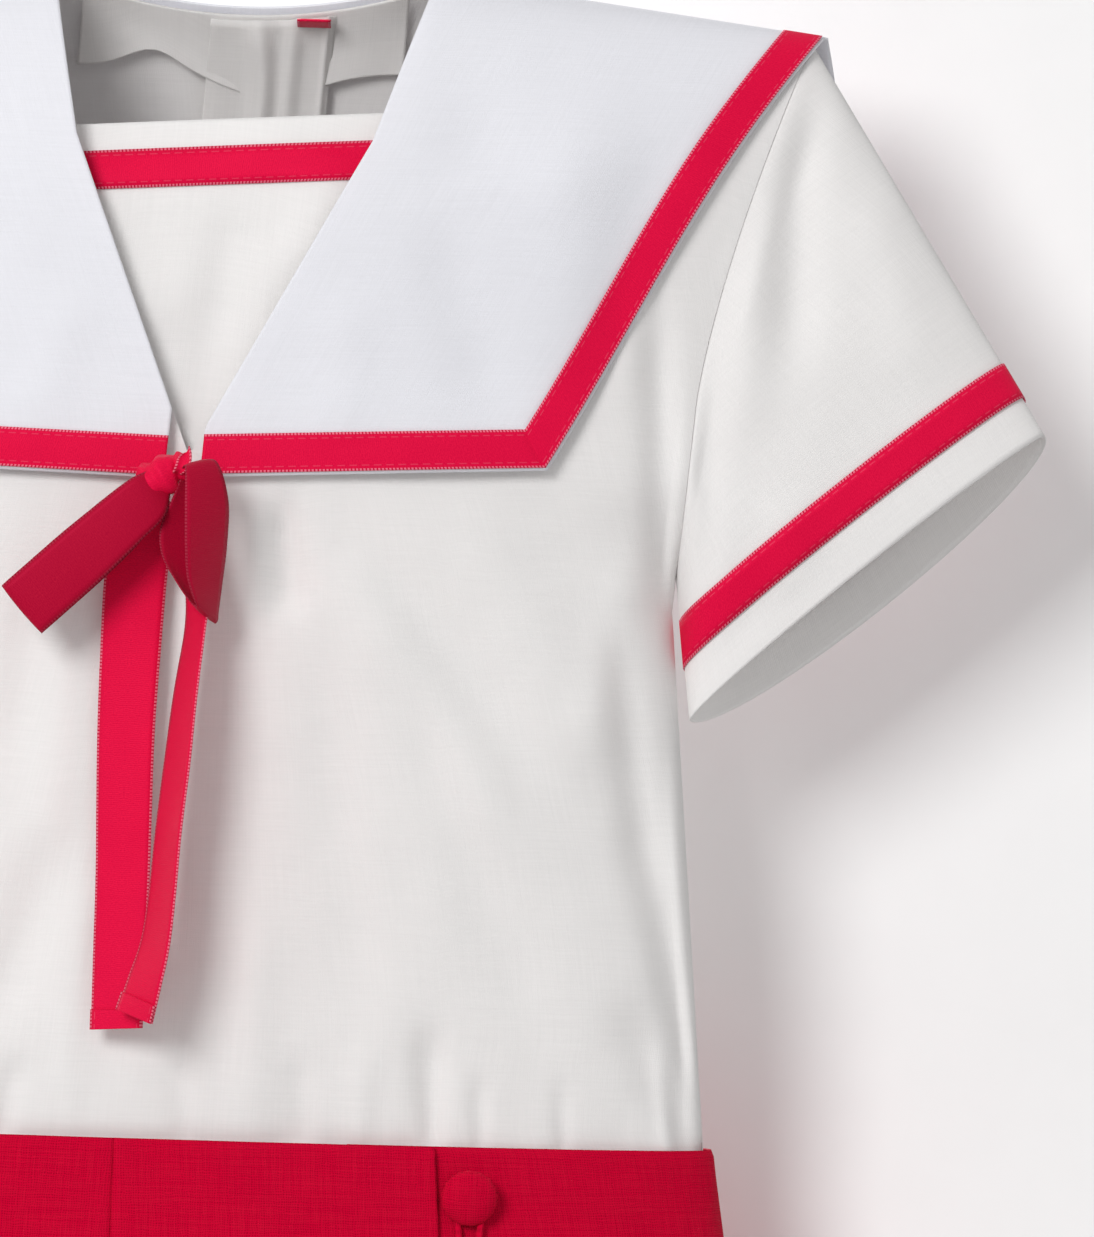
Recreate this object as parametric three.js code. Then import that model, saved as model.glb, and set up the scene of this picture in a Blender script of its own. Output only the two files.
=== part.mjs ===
// A child's sailor-style cheer uniform, hanging from a clothes hanger: a white cotton bodice with a
// sailor collar, short sleeves and a ribbon bow, sewn to a red panelled skirt with covered buttons.
// Millimetres, +Z up, the front faces -Y. Heights are given from the waist seam and shifted at the end,
// so that the origin is where the hanger's neck meets the shoulder line.
import * as THREE from 'three';
import { ParametricGeometry } from 'three/addons/geometries/ParametricGeometry.js';
import { mergeGeometries, mergeVertices } from 'three/addons/utils/BufferGeometryUtils.js';

// ---- driving dimensions ----
const WAIST_HALF = 149.5;        // half the flat width at the waist seam
const CHEST_HALF = 126.4;        // half the flat width under the arm
const SHOULDER_HALF = 150;       // half the width between the shoulder points
const CHEST_Z = 137.6;           // height where the side edge meets the sleeve
const UNDERARM_Z = 146;          // lowest point of the armhole
const NECK_Z = 296;              // shoulder line at the side of the neck
const NECK_HALF = 48.5;          // half the width of the neck hole at the shoulder line
const SHOULDER_SLOPE = 0.1225;   // fall of the shoulder line
const SHOULDER_ROUND = 75;       // height over which the body rounds in to the shoulder line
const SPREAD_Z = 190;            // above this the sides widen to the shoulder points
const ARMHOLE_RISE = 30;         // height over which the side flattens beside the armhole
const WAIST_DEPTH = 28;          // half the depth, front to back, at the waist
const CHEST_DEPTH = 34;          // half the depth at the chest
const ARM_OPENING = 0.8;         // how much of the roundness is left at the armhole edge
const LEAN = 0.079;              // sideways lean of the centre line, as the garment hangs a little askew
const TUCK = 8;                  // the bodice's lower edge runs on inside the skirt
const APEX_Z = 173;              // the point of the V neckline
const V_TOP_Z = 254;             // where the V turns steeper
const V_HALF = 37.4;             // half the width of the V there
const BACK_NECK_DIP = 8;         // how far the back neckline dips below the shoulder line
const CLOTH = 1.2;               // thickness of a cloth layer
const SATIN = 0.6;               // thickness of a ribbon
const SEAM = 0.3;                // gap between two pieces that are sewn together
const TRIM_WIDTH = 10;           // flat ribbon trim
const BOW_WIDTH = 16;            // ribbon of the bow

const COLLAR_LIFT = 1.5;         // the collar lies this far off the bodice
const COLLAR_Z = 173.5;          // the collar's lower edge, at its outer corner
const COLLAR_INNER_Z = 170;      // and at its inner corner
const COLLAR_INNER_X = 5.5;
const COLLAR_CORNER_X = 90.6;
const COLLAR_SHOULDER_X = 149.2;
const CAPE_HALF = 150;           // half the width of the collar's back
const CAPE_BULGE = 6;
const TRIM_MARGIN = 0.8;         // cloth showing outside the ribbon
const TRIM_GAP = 0.9;            // ribbon trim off the cloth it is sewn to

const DICKEY_Z = 259;            // top edge of the dickey
const DICKEY_BASE_Z = 160;
const DICKEY_MARGIN = 8;         // the dickey runs on behind the neckline
const DICKEY_BAND = 7;           // cloth above the dickey's ribbon
const DICKEY_CLEAR = 1.7;        // clearance between the dickey's ribbon and the bodice's inner face
const DICKEY_LIFT = -2 * CLOTH - TRIM_GAP - SATIN - DICKEY_CLEAR;

const SLEEVE_TOP = [216.7, 185.4];
const SLEEVE_LOW_Z = 110;
const SLEEVE_STAND = 2.87;       // the hem's lower end stands this far out from the bodice's side
const SLEEVE_ARM_TOP_Z = 281;
const SLEEVE_DEPTH = CHEST_DEPTH * Math.sqrt(1 - ARM_OPENING) - 2 * SEAM;     // half depth at the armhole
const SLEEVE_HEM_DEPTH = 12;
const SLEEVE_GAP = 1.2;          // clearance under the arm
const HEM_RISE = 3;              // the front hem bows up
const HEM_DROP = 9;              // the back hem hangs lower
const SLEEVE_HEM = 11;           // hem below the ribbon

const SKIRT_LENGTH = 165;
const SKIRT_FLARE = 0.15;        // growth of the half width per mm of length
const SKIRT_DEEPEN = 0.16;       // growth of the half depth per mm of length
const SKIRT_LIFT = 0.9;          // side panels lie this far off the bodice's tuck
const FRONT_LIFT = 2.9;          // front and back panels lie over the side panels
const PANEL_EDGE = 81;           // folded edge of the front and back panels, from the centre
const UNDERLAP = 22;             // side panel running on beneath that edge
const BUTTON_X = 90.3;
const BUTTON_Z = -12.7;
const BUTTON_R = 7.2;
const BUTTON_DOME = 3.4;         // height of the covered button's dome
const BUTTON_RIM = 0.9;          // and of its rounded rim
const SHANK_R = 2.4;
const SHANK_LENGTH = 2.6;
const LOOP_R = 0.9;              // rouleau of the button loop
const LOOP_DROP = 21;
const LOOP_NARROW = 2;           // the loop's two ends, from its middle, and its widest place below the button
const LOOP_WIDE = 2.6;

const KNOT_Z = 166;
const KNOT_X = -5.9;
const KNOT_R = 6.2;
const KNOT_HALF = 7;
const KNOT_STAND = 15;           // the knot's middle stands this far off the chest
const KNOT_Y = -CHEST_DEPTH - KNOT_STAND;
const STEM_R = 2.6;              // the stitched stem that holds the knot to the bodice
const STEM_SHIFT = 3.5;
const PINCH = 0.55;              // a bow loop's width at the knot, as a share of the ribbon's
const LEFT_LOOP_LENGTH = 34;
const LEFT_LOOP_THICK = 6;
const LEFT_LOOP_START = [-9.8, -2, 0.5];     // from the knot's middle
const LEFT_LOOP_FALL = 0.764;    // the left loop falls at this angle, in radians
const RIGHT_LOOP_LENGTH = 40;
const RIGHT_LOOP_THICK = 5;
const RIGHT_LOOP_START = [9.4, -3.9, 2];
const RIGHT_LOOP_TURN = 0.9;     // the right loop hangs down and is turned this far, in radians
const TAIL_CLEAR = 5.5;          // the tails hang this far off the chest
const TAIL_SETTLED = 0.12;       // share of a tail's length over which it falls back to the chest
const TAIL_LAP = 2.4;            // the right tail hangs this far in front of the left
const TAIL_OPEN = [0.3, 0.6];    // shares between which the right tail opens out from its gathers
const TAIL_TURN = 1.15;          // and turns this far, in radians
const TAIL_STAND = 6.5;          // which brings it this far forward
const TAIL_SLANT = 9;            // and the right tail drifts this far to the side
const GATHERED = 6;              // ribbon gathered at the knot
const TAIL_END_Z = 28;
const TAIL2_END_Z = 38;

const BACK_BUTTONS_Z = [25, 70, 115, 158];
const BACK_BUTTON_R = 5;
const BACK_BUTTON_STAND = 0.25;  // the back's slope takes the button this much further out
const PLACKET_LEFT = -12;        // edge of the overlapping right back panel
const PLACKET_INNER = [-8.6, 23.4];
const FACING_LIFT = -2 * CLOTH - 2 * SEAM;
const PLACKET_LIFT = FACING_LIFT - CLOTH - 2 * SEAM;
const FACING_HALF = 36;
const FACING_Z = 262;
const HANG_LOOP_X = [13, 21.6];
const HANG_LOOP_REACH = 7;
const HANG_LOOP_DROP = 3.5;      // below the back neckline
const HANG_LOOP_GAP = 0.9;       // its end is sewn this far inside the neck facing

const COTTON = { color: 0xe9e8ea, roughness: 0.85, metalness: 0 };
const LINEN = { color: 0xc80030, roughness: 0.8, metalness: 0 };
const SATIN_RED = { color: 0xd81242, roughness: 0.45, metalness: 0 };
const SHELL = { color: 0xf2f0ec, roughness: 0.35, metalness: 0 };

const uniform = new THREE.Group();
const lerp = THREE.MathUtils.lerp;
const clamp = THREE.MathUtils.clamp;

// ---- the body's surface ----
function halfWidth(z) {
  if (z < 0) return WAIST_HALF - SKIRT_FLARE * z;
  const side = lerp(WAIST_HALF, CHEST_HALF, Math.min(1, z / CHEST_Z));
  const above = Math.max(0, (z - SPREAD_Z) / (NECK_Z - SPREAD_Z));
  return side + (SHOULDER_HALF - CHEST_HALF) * above ** 1.5;
}

function halfDepth(z) {
  if (z < 0) return WAIST_DEPTH - SKIRT_DEEPEN * z;
  const t = Math.min(1, z / CHEST_Z);
  return lerp(WAIST_DEPTH, CHEST_DEPTH, t * (2 - t));
}

const shoulderLine = (x) => NECK_Z - SHOULDER_SLOPE * Math.max(0, Math.abs(x) - NECK_HALF);

// Distance of the front or back from the middle plane, for a layer that lies `lift` outside the bodice.
function depth(x, z, lift) {
  const open = THREE.MathUtils.smoothstep(z, UNDERARM_Z, UNDERARM_Z + ARMHOLE_RISE);
  const u = Math.min(1, Math.abs(x) / (halfWidth(z) + lift));
  const across = Math.sqrt(Math.max(0, 1 - lerp(1, ARM_OPENING, open) * u * u));
  const s = clamp((shoulderLine(x) + lift - z) / SHOULDER_ROUND, 0, 1);
  const down = Math.sqrt(1 - (1 - s) ** 2);
  return Math.max(SEAM / 2, (halfDepth(z) + lift) * across * down);
}

function vNeckX(z) {
  if (z < V_TOP_Z) return V_HALF * Math.max(0, z - APEX_Z) / (V_TOP_Z - APEX_Z);
  return V_HALF + (NECK_HALF - V_HALF) * (z - V_TOP_Z) / (NECK_Z - V_TOP_Z);
}

function vNeckZ(x) {
  if (x < V_HALF) return APEX_Z + (V_TOP_Z - APEX_Z) * x / V_HALF;
  return V_TOP_Z + (NECK_Z - V_TOP_Z) * (x - V_HALF) / (NECK_HALF - V_HALF);
}

const backNeckZ = (x) => NECK_Z - BACK_NECK_DIP * (1 - (x / NECK_HALF) ** 2);

// Point on the body: side is -1 on the front and 1 on the back, and x leans with the centre line.
function onBody(x, z, lift, side, target) {
  return target.set(x + LEAN * (Math.max(z, 0) - NECK_Z), side * depth(x, z, lift), z - NECK_Z);
}

// Point that hangs straight below the knot, whatever the garment's lean.
function below(x, y, z, target) {
  return target.set(x + LEAN * (KNOT_Z - NECK_Z), y, z - NECK_Z);
}

// ---- closed solids from surfaces ----
function closed(patches) {
  for (const patch of patches) {
    patch.deleteAttribute('normal');
    patch.deleteAttribute('uv');
  }
  const solid = mergeVertices(mergeGeometries(patches), 1e-3);
  const p = solid.getAttribute('position');
  const index = solid.getIndex().array;
  const [a, b, c] = [new THREE.Vector3(), new THREE.Vector3(), new THREE.Vector3()];
  let volume = 0;
  for (let i = 0; i < index.length; i += 3) {
    a.fromBufferAttribute(p, index[i]);
    b.fromBufferAttribute(p, index[i + 1]);
    c.fromBufferAttribute(p, index[i + 2]);
    volume += a.dot(b.cross(c));
  }
  if (volume < 0) index.reverse();
  return solid;
}

// A layer of cloth: surface(u, v, side, target) gives its outer face at side 1 and its inner at side 0.
function layer(surface, across, along) {
  const inner = new THREE.Vector3();
  const edge = (place) => (s, t, target) => {
    const [u, v] = place(t);
    surface(u, v, 0, inner);
    surface(u, v, 1, target);
    target.lerpVectors(inner, target.clone(), s);
  };
  return closed([
    new ParametricGeometry((u, v, target) => surface(u, v, 1, target), across, along),
    new ParametricGeometry((u, v, target) => surface(1 - u, v, 0, target), across, along),
    new ParametricGeometry(edge((t) => [1 - t, 0]), 1, across),
    new ParametricGeometry(edge((t) => [t, 1]), 1, across),
    new ParametricGeometry(edge((t) => [0, t]), 1, along),
    new ParametricGeometry(edge((t) => [1, 1 - t]), 1, along),
  ]);
}

// A ring of cloth, closed round u, such as a sleeve.
function tube(surface, around, along) {
  const inner = new THREE.Vector3();
  const rim = (v, flip) => (s, t, target) => {
    const u = flip ? 1 - t : t;
    surface(u, v, 0, inner);
    surface(u, v, 1, target);
    target.lerpVectors(inner, target.clone(), s);
  };
  return closed([
    new ParametricGeometry((u, v, target) => surface(u, v, 1, target), around, along),
    new ParametricGeometry((u, v, target) => surface(1 - u, v, 0, target), around, along),
    new ParametricGeometry(rim(0, true), 1, around),
    new ParametricGeometry(rim(1, false), 1, around),
  ]);
}

function add(name, geometry, look, place = uniform) {
  const mesh = new THREE.Mesh(geometry, new THREE.MeshStandardMaterial(look));
  mesh.name = name;
  place.add(mesh);
  return mesh;
}

const SIDES = [['left', -1], ['right', 1]];
const bunched = (t) => 1 - (1 - t) ** 2;        // rows lie closer together near the shoulder line

// ---- bodice ----
// Columns of the front: a quarter of them on each side of the neck, and half of them below the neck.
function frontColumns(u) {
  const neck = Math.asin(NECK_HALF / SHOULDER_HALF);
  const c = Math.abs(2 * u - 1);
  const angle = c < 0.5 ? 2 * c * neck : lerp(neck, Math.PI / 2, 2 * c - 1);
  return Math.sign(2 * u - 1) * angle;
}

// A panel whose columns lie at angle(u) round the body, from its tuck up to its neckline and shoulder.
function bodicePanel(side, angle, neckZ, columns) {
  const rows = 15;
  return layer((u, v, outer, target) => {
    const lift = (outer - 1) * CLOTH;
    const share = Math.sin(angle(u));
    let top = NECK_Z;
    for (let i = 0; i < 8; i++) {
      const x = Math.abs(share) * (halfWidth(top) + lift);
      top = x < NECK_HALF ? neckZ(x) : shoulderLine(x) + lift;
    }
    const above = v * rows - 1;                 // the first row is the tuck below the waist seam
    const z = above < 0 ? TUCK * above : top * bunched(above / (rows - 1));
    onBody(share * (halfWidth(z) + lift), z, lift, side, target);
  }, columns, rows);
}

function bodice() {
  const edge = Math.PI / 2;
  const overlap = Math.asin(PLACKET_LEFT / WAIST_HALF);
  const gap = Math.asin((PLACKET_LEFT - SEAM) / WAIST_HALF);
  add('bodice_front', bodicePanel(-1, frontColumns, vNeckZ, 36), COTTON);
  add('bodice_back_left', bodicePanel(1, (u) => lerp(-edge, gap, u), backNeckZ, 12), COTTON);
  add('bodice_back_right', bodicePanel(1, (u) => lerp(overlap, edge, u), backNeckZ, 14), COTTON);
}

// A strip inside the back, given by its two edges and its ends.
function backStrip(x0, x1, low, high, lift, across, along) {
  return layer((u, v, outer, target) => {
    const x = lerp(x0, x1, u);
    onBody(x, lerp(low, high(x), v), lift + outer * CLOTH, 1, target);
  }, across, along);
}

function backFacings() {
  const below = (drop) => (x) => backNeckZ(x) - drop;
  const placketTop = below(HANG_LOOP_DROP + CLOTH);
  add('back_placket_facing', backStrip(...PLACKET_INNER, -TUCK, placketTop, PLACKET_LIFT, 4, 12), COTTON);
  const facing = backStrip(-FACING_HALF, FACING_HALF, FACING_Z, below(CLOTH), FACING_LIFT, 8, 3);
  add('back_neck_facing', facing, COTTON);
}

// ---- dickey ----
function dickeyStrip(low, high, lift, thickness, along) {
  return layer((u, v, outer, target) => {
    const z = lerp(low, high, v);
    const x = (vNeckX(z) + DICKEY_MARGIN) * (2 * u - 1);
    onBody(x, z, lift + outer * thickness, -1, target);
  }, 10, along);
}

function dickey() {
  const ribbonTop = DICKEY_Z - DICKEY_BAND;
  add('dickey', dickeyStrip(DICKEY_BASE_Z, DICKEY_Z, DICKEY_LIFT, CLOTH, 8), COTTON);
  const ribbonLift = DICKEY_LIFT + CLOTH + TRIM_GAP;
  add('dickey_ribbon', dickeyStrip(ribbonTop - TRIM_WIDTH, ribbonTop, ribbonLift, SATIN, 2), SATIN_RED);
}

// ---- collar ----
const frontInner = (t, lift) => {
  const z = lerp(COLLAR_INNER_Z, NECK_Z + lift, t);
  return [Math.max(COLLAR_INNER_X, vNeckX(z)), z];
};

const frontOuter = (t, lift) => {
  const x = lerp(COLLAR_CORNER_X, COLLAR_SHOULDER_X, t);
  return [x, lerp(COLLAR_Z, shoulderLine(COLLAR_SHOULDER_X) + lift, t)];
};

function collarFront(sign) {
  return layer((u, v, outer, target) => {
    const lift = COLLAR_LIFT + outer * CLOTH;
    const t = bunched(v);
    const [x0, z0] = frontInner(t, lift);
    const [x1, z1] = frontOuter(t, lift);
    onBody(sign * lerp(x0, x1, u), lerp(z0, z1, u), lift, -1, target);
  }, 10, 14);
}

const capeHalf = (t) => CAPE_HALF + CAPE_BULGE * Math.sin(Math.PI * t * t);

function collarBack() {
  return layer((u, v, outer, target) => {
    const lift = COLLAR_LIFT + outer * CLOTH;
    const t = bunched(v);
    const x = (2 * u - 1) * capeHalf(t);
    const top = Math.abs(x) < NECK_HALF ? backNeckZ(x) : shoulderLine(x);
    onBody(x, lerp(COLLAR_Z, top + lift, t), lift, 1, target);
  }, 26, 14);
}

// The ribbon's two long edges as corners of a path, in the plane of the collar: bottom, then side.
function frontTrim(sign) {
  const rise = new THREE.Vector2(COLLAR_SHOULDER_X - COLLAR_CORNER_X,
    shoulderLine(COLLAR_SHOULDER_X) - COLLAR_Z).normalize();
  const inward = new THREE.Vector2(-rise.y, rise.x);
  const slope = (COLLAR_Z - COLLAR_INNER_Z) / (COLLAR_CORNER_X - COLLAR_INNER_X);
  // Where the side ribbon's edge, `off` inside the collar's, is cut at a height.
  const lean = rise.x / rise.y;
  const sideX = (z, off) => COLLAR_CORNER_X + inward.x * off + (z - COLLAR_Z - inward.y * off) * lean;
  const corner = (off) => {
    const z = COLLAR_Z + off - slope * off;
    return [sideX(z, off), z];
  };
  return layer((u, v, outer, target) => {
    const lift = COLLAR_LIFT + CLOTH + TRIM_GAP + outer * SATIN;
    const off = TRIM_MARGIN + v * TRIM_WIDTH;
    const [cx, cz] = corner(off);
    let x;
    let z;
    if (u < 0.4) {
      x = lerp(COLLAR_INNER_X, cx, u / 0.4);
      z = lerp(COLLAR_INNER_Z + off, cz, u / 0.4);
    } else {
      const t = bunched((u - 0.4) / 0.6);
      const endX = COLLAR_SHOULDER_X - TRIM_MARGIN - v * TRIM_WIDTH;
      x = lerp(cx, endX, t);
      z = lerp(cz, shoulderLine(endX) + lift, t);
    }
    onBody(sign * x, z, lift, -1, target);
  }, 25, 1);
}

// Down one side of the collar's back, along its lower edge and up the other side.
function backTrim() {
  return layer((u, v, outer, target) => {
    const lift = COLLAR_LIFT + CLOTH + TRIM_GAP + outer * SATIN;
    const off = TRIM_MARGIN + v * TRIM_WIDTH;
    const leg = Math.abs(2 * u - 1) * 2;          // 0 at the middle, 1 at a corner, 2 at a shoulder
    const low = COLLAR_Z + off;
    let x;
    let z;
    if (leg <= 1) {
      x = leg * (CAPE_HALF - off);
      z = low;
    } else {
      const t = bunched(leg - 1);
      x = capeHalf(t) - off;
      z = lerp(low, shoulderLine(x) + lift, t);
    }
    onBody(Math.sign(2 * u - 1) * x, z, lift, 1, target);
  }, 56, 1);
}

function collar() {
  for (const [word, sign] of SIDES) {
    add(`collar_front_${word}`, collarFront(sign), COTTON);
    add(`collar_ribbon_${word}`, frontTrim(sign), SATIN_RED);
  }
  add('collar_back', collarBack(), COTTON);
  add('collar_ribbon_back', backTrim(), SATIN_RED);
}

// ---- sleeves ----
const SLEEVE_LOW = [halfWidth(SLEEVE_LOW_Z) + SLEEVE_STAND, SLEEVE_LOW_Z];

// Point at a share of the way from the hem (0) to the armhole (1), round the sleeve by u.
function onSleeve(sign, u, share, lift, target) {
  const turn = 2 * Math.PI * u;
  const along = new THREE.Vector2(SLEEVE_LOW[0] - SLEEVE_TOP[0], SLEEVE_LOW[1] - SLEEVE_TOP[1]);
  const hemLength = along.length();
  const q = 0.5 - (0.5 + lift / hemLength) * Math.cos(turn);
  const swing = Math.sin(turn);
  const bow = swing > 0 ? -HEM_RISE * swing : -HEM_DROP * swing;
  const hemX = SLEEVE_TOP[0] + along.x * q - along.y / hemLength * bow;
  const hemZ = SLEEVE_TOP[1] + along.y * q + along.x / hemLength * bow;
  const armZ = lerp(SLEEVE_ARM_TOP_Z, UNDERARM_Z, q);
  const armX = halfWidth(armZ) + SEAM + SLEEVE_GAP * q;
  const y = -swing * (lerp(SLEEVE_HEM_DEPTH, SLEEVE_DEPTH, share) + lift);
  const x = lerp(hemX, armX, share);
  const z = lerp(hemZ, armZ, share);
  return target.set(sign * x + LEAN * (z - NECK_Z), y, z - NECK_Z);
}

// Share of the way up that lies `off` millimetres from the hem, measured square to the hem.
function hemShare(u, off) {
  const hem = onSleeve(1, u, 0, 0, new THREE.Vector3());
  const arm = onSleeve(1, u, 1, 0, new THREE.Vector3()).sub(hem);
  const line = new THREE.Vector3(SLEEVE_LOW[0] - SLEEVE_TOP[0], 0, SLEEVE_LOW[1] - SLEEVE_TOP[1]).normalize();
  return off / arm.clone().addScaledVector(line, -arm.dot(line)).length();
}

function sleeves() {
  for (const [word, sign] of SIDES) {
    const wall = (u, v, outer, target) => onSleeve(sign, u, v, (outer - 1) * CLOTH, target);
    add(`sleeve_${word}`, tube(wall, 26, 4), COTTON);
    const band = (u, v, outer, target) => {
      const share = hemShare(u, SLEEVE_HEM + v * TRIM_WIDTH);
      onSleeve(sign, u, share, TRIM_GAP + outer * SATIN, target);
    };
    add(`sleeve_ribbon_${word}`, tube(band, 26, 1), SATIN_RED);
  }
}

// ---- skirt ----
// A panel between two angles round the skirt; 0 is its right side, a quarter turn is the front.
function skirtPanel(from, to, lift, columns) {
  return layer((u, v, outer, target) => {
    const h = lift + outer * CLOTH;
    const turn = lerp(from, to, u);
    const z = -v * SKIRT_LENGTH;
    target.set((halfWidth(z) + h) * Math.cos(turn) - LEAN * NECK_Z,
      -(halfDepth(z) + h) * Math.sin(turn), z - NECK_Z);
  }, columns, 3);
}

const panelTurn = (x, lift) => Math.acos(x / (WAIST_HALF + lift));

function skirt() {
  const edge = panelTurn(PANEL_EDGE, FRONT_LIFT);
  const middle = panelTurn(SEAM / 2, FRONT_LIFT);
  const under = panelTurn(PANEL_EDGE - UNDERLAP, SKIRT_LIFT);
  const half = Math.PI;
  add('skirt_front_right', skirtPanel(edge, middle, FRONT_LIFT, 6), LINEN);
  add('skirt_front_left', skirtPanel(half - middle, half - edge, FRONT_LIFT, 6), LINEN);
  add('skirt_back_right', skirtPanel(-middle, -edge, FRONT_LIFT, 6), LINEN);
  add('skirt_back_left', skirtPanel(half + edge, half + middle, FRONT_LIFT, 6), LINEN);
  add('skirt_side_right', skirtPanel(-under, under, SKIRT_LIFT, 24), LINEN);
  add('skirt_side_left', skirtPanel(half - under, half + under, SKIRT_LIFT, 24), LINEN);
}

// ---- buttons ----
// A covered button on its shank, standing out of the cloth along +Y before it is turned.
function coveredButton() {
  const back = BUTTON_R - BUTTON_RIM * 2 / 3;
  const profile = [[0, 0], [SHANK_R, 0], [SHANK_R, SHANK_LENGTH], [back, SHANK_LENGTH]]
    .map(([r, y]) => new THREE.Vector2(r, y));
  const rim = new THREE.EllipseCurve(0, SHANK_LENGTH + BUTTON_RIM, BUTTON_R, BUTTON_DOME, 0, Math.PI / 2);
  profile.push(...rim.getPoints(6));
  profile[profile.length - 1].x = 0;
  return solidOf(new THREE.LatheGeometry(profile, 18));
}

function solidOf(geometry) {
  return closed([geometry.index ? geometry.toNonIndexed() : geometry].map((g) => mergeVertices(g)));
}

// A plain shirt button with a raised rim.
function shirtButton() {
  const profile = [[0, 0], [BACK_BUTTON_R - 0.8, 0], [BACK_BUTTON_R, 0.8], [BACK_BUTTON_R, 1.8],
    [BACK_BUTTON_R - 0.5, 2.4], [BACK_BUTTON_R - 1.4, 2.2], [0, 1.7]].map(([r, y]) => new THREE.Vector2(r, y));
  return solidOf(new THREE.LatheGeometry(profile, 16));
}

// The rouleau loop that passes round the shank, with both ends sewn down below the button.
function buttonLoop() {
  const round = SHANK_R + LOOP_R + SEAM;
  const leg = (side) => [new THREE.Vector3(side * LOOP_NARROW, 0, -LOOP_DROP),
    new THREE.Vector3(side * LOOP_WIDE, 0, -LOOP_DROP / 2)];
  const points = leg(-1);
  for (let i = 0; i <= 8; i++) {
    const turn = Math.PI * (1 + i / 8);
    points.push(new THREE.Vector3(round * Math.cos(turn), 0, -round * Math.sin(turn)));
  }
  points.push(...leg(1).reverse());
  const curve = new THREE.CatmullRomCurve3(points);
  const section = new THREE.Shape().absarc(0, 0, LOOP_R, 0, 2 * Math.PI);
  return solidOf(new THREE.ExtrudeGeometry(section, { extrudePath: curve, steps: 20, curveSegments: 3 }));
}

function buttons() {
  const surface = depth(BUTTON_X - SHANK_R, BUTTON_Z, SKIRT_LIFT + CLOTH);
  const fall = Math.atan2(depth(BUTTON_X, BUTTON_Z - LOOP_DROP, 0) - depth(BUTTON_X, BUTTON_Z, 0), LOOP_DROP);
  for (const [word, sign] of SIDES) {
    for (const [face, side] of [['front', -1], ['back', 1]]) {
      const seat = new THREE.Group();
      seat.position.set(sign * BUTTON_X - LEAN * NECK_Z, side * (surface + SEAM), BUTTON_Z - NECK_Z);
      seat.rotation.x = side * fall;
      uniform.add(seat);
      const button = add(`${face}_button_${word}`, coveredButton(), LINEN, seat);
      button.rotation.x = side > 0 ? 0 : Math.PI;
      const loop = add(`${face}_loop_${word}`, buttonLoop(), LINEN, seat);
      loop.position.y = side * (LOOP_R + SEAM);
    }
  }
  BACK_BUTTONS_Z.forEach((z, i) => {
    const button = add(`back_button_${i + 1}`, shirtButton(), SHELL);
    button.position.set(LEAN * (z - NECK_Z), depth(0, z, 0) + SEAM + BACK_BUTTON_STAND, z - NECK_Z);
  });
}

// ---- bow ----
function bowKnot() {
  const profile = [new THREE.Vector2(0, -KNOT_HALF)];
  for (let i = 1; i < 10; i++) {
    const turn = Math.PI * (i / 10 - 0.5);
    profile.push(new THREE.Vector2(KNOT_R * Math.cos(turn) ** 0.7, KNOT_HALF * Math.sin(turn)));
  }
  profile.push(new THREE.Vector2(0, KNOT_HALF));
  return solidOf(new THREE.LatheGeometry(profile, 18));
}

// A loop of the bow: out along `way` from the knot in front, round a fold and back behind.
function bowLoop(start, way, across, length, thick) {
  const out = way.clone().normalize();
  const flat = across.clone().normalize();
  const off = new THREE.Vector3().crossVectors(out, flat);
  return layer((u, v, outer, target) => {
    const wall = (1 - outer) * SATIN;
    const turn = Math.PI * u;
    const reach = (length - wall) * Math.sin(turn);
    const width = lerp(PINCH, 1, THREE.MathUtils.smoothstep(reach, 0, 0.4 * length)) * BOW_WIDTH;
    target.copy(start).addScaledVector(out, reach).addScaledVector(flat, (v - 0.5) * width);
    target.addScaledVector(off, (thick / 2 - wall) * Math.cos(turn));
    below(target.x, target.y, target.z, target);
  }, 20, 2);
}

// A tail of the bow: middle(t) is its centre line, width(t) its width and turn(t) how far it is turned.
function bowTail(middle, width, turn) {
  return layer((u, v, outer, target) => {
    const [x, y, z] = middle(v);
    const a = turn(v);
    const w = (u - 0.5) * width(v);
    const n = (outer - 0.5) * SATIN;
    below(x + w * Math.cos(a) + n * Math.sin(a), y + w * Math.sin(a) - n * Math.cos(a), z, target);
  }, 2, 18);
}

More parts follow.
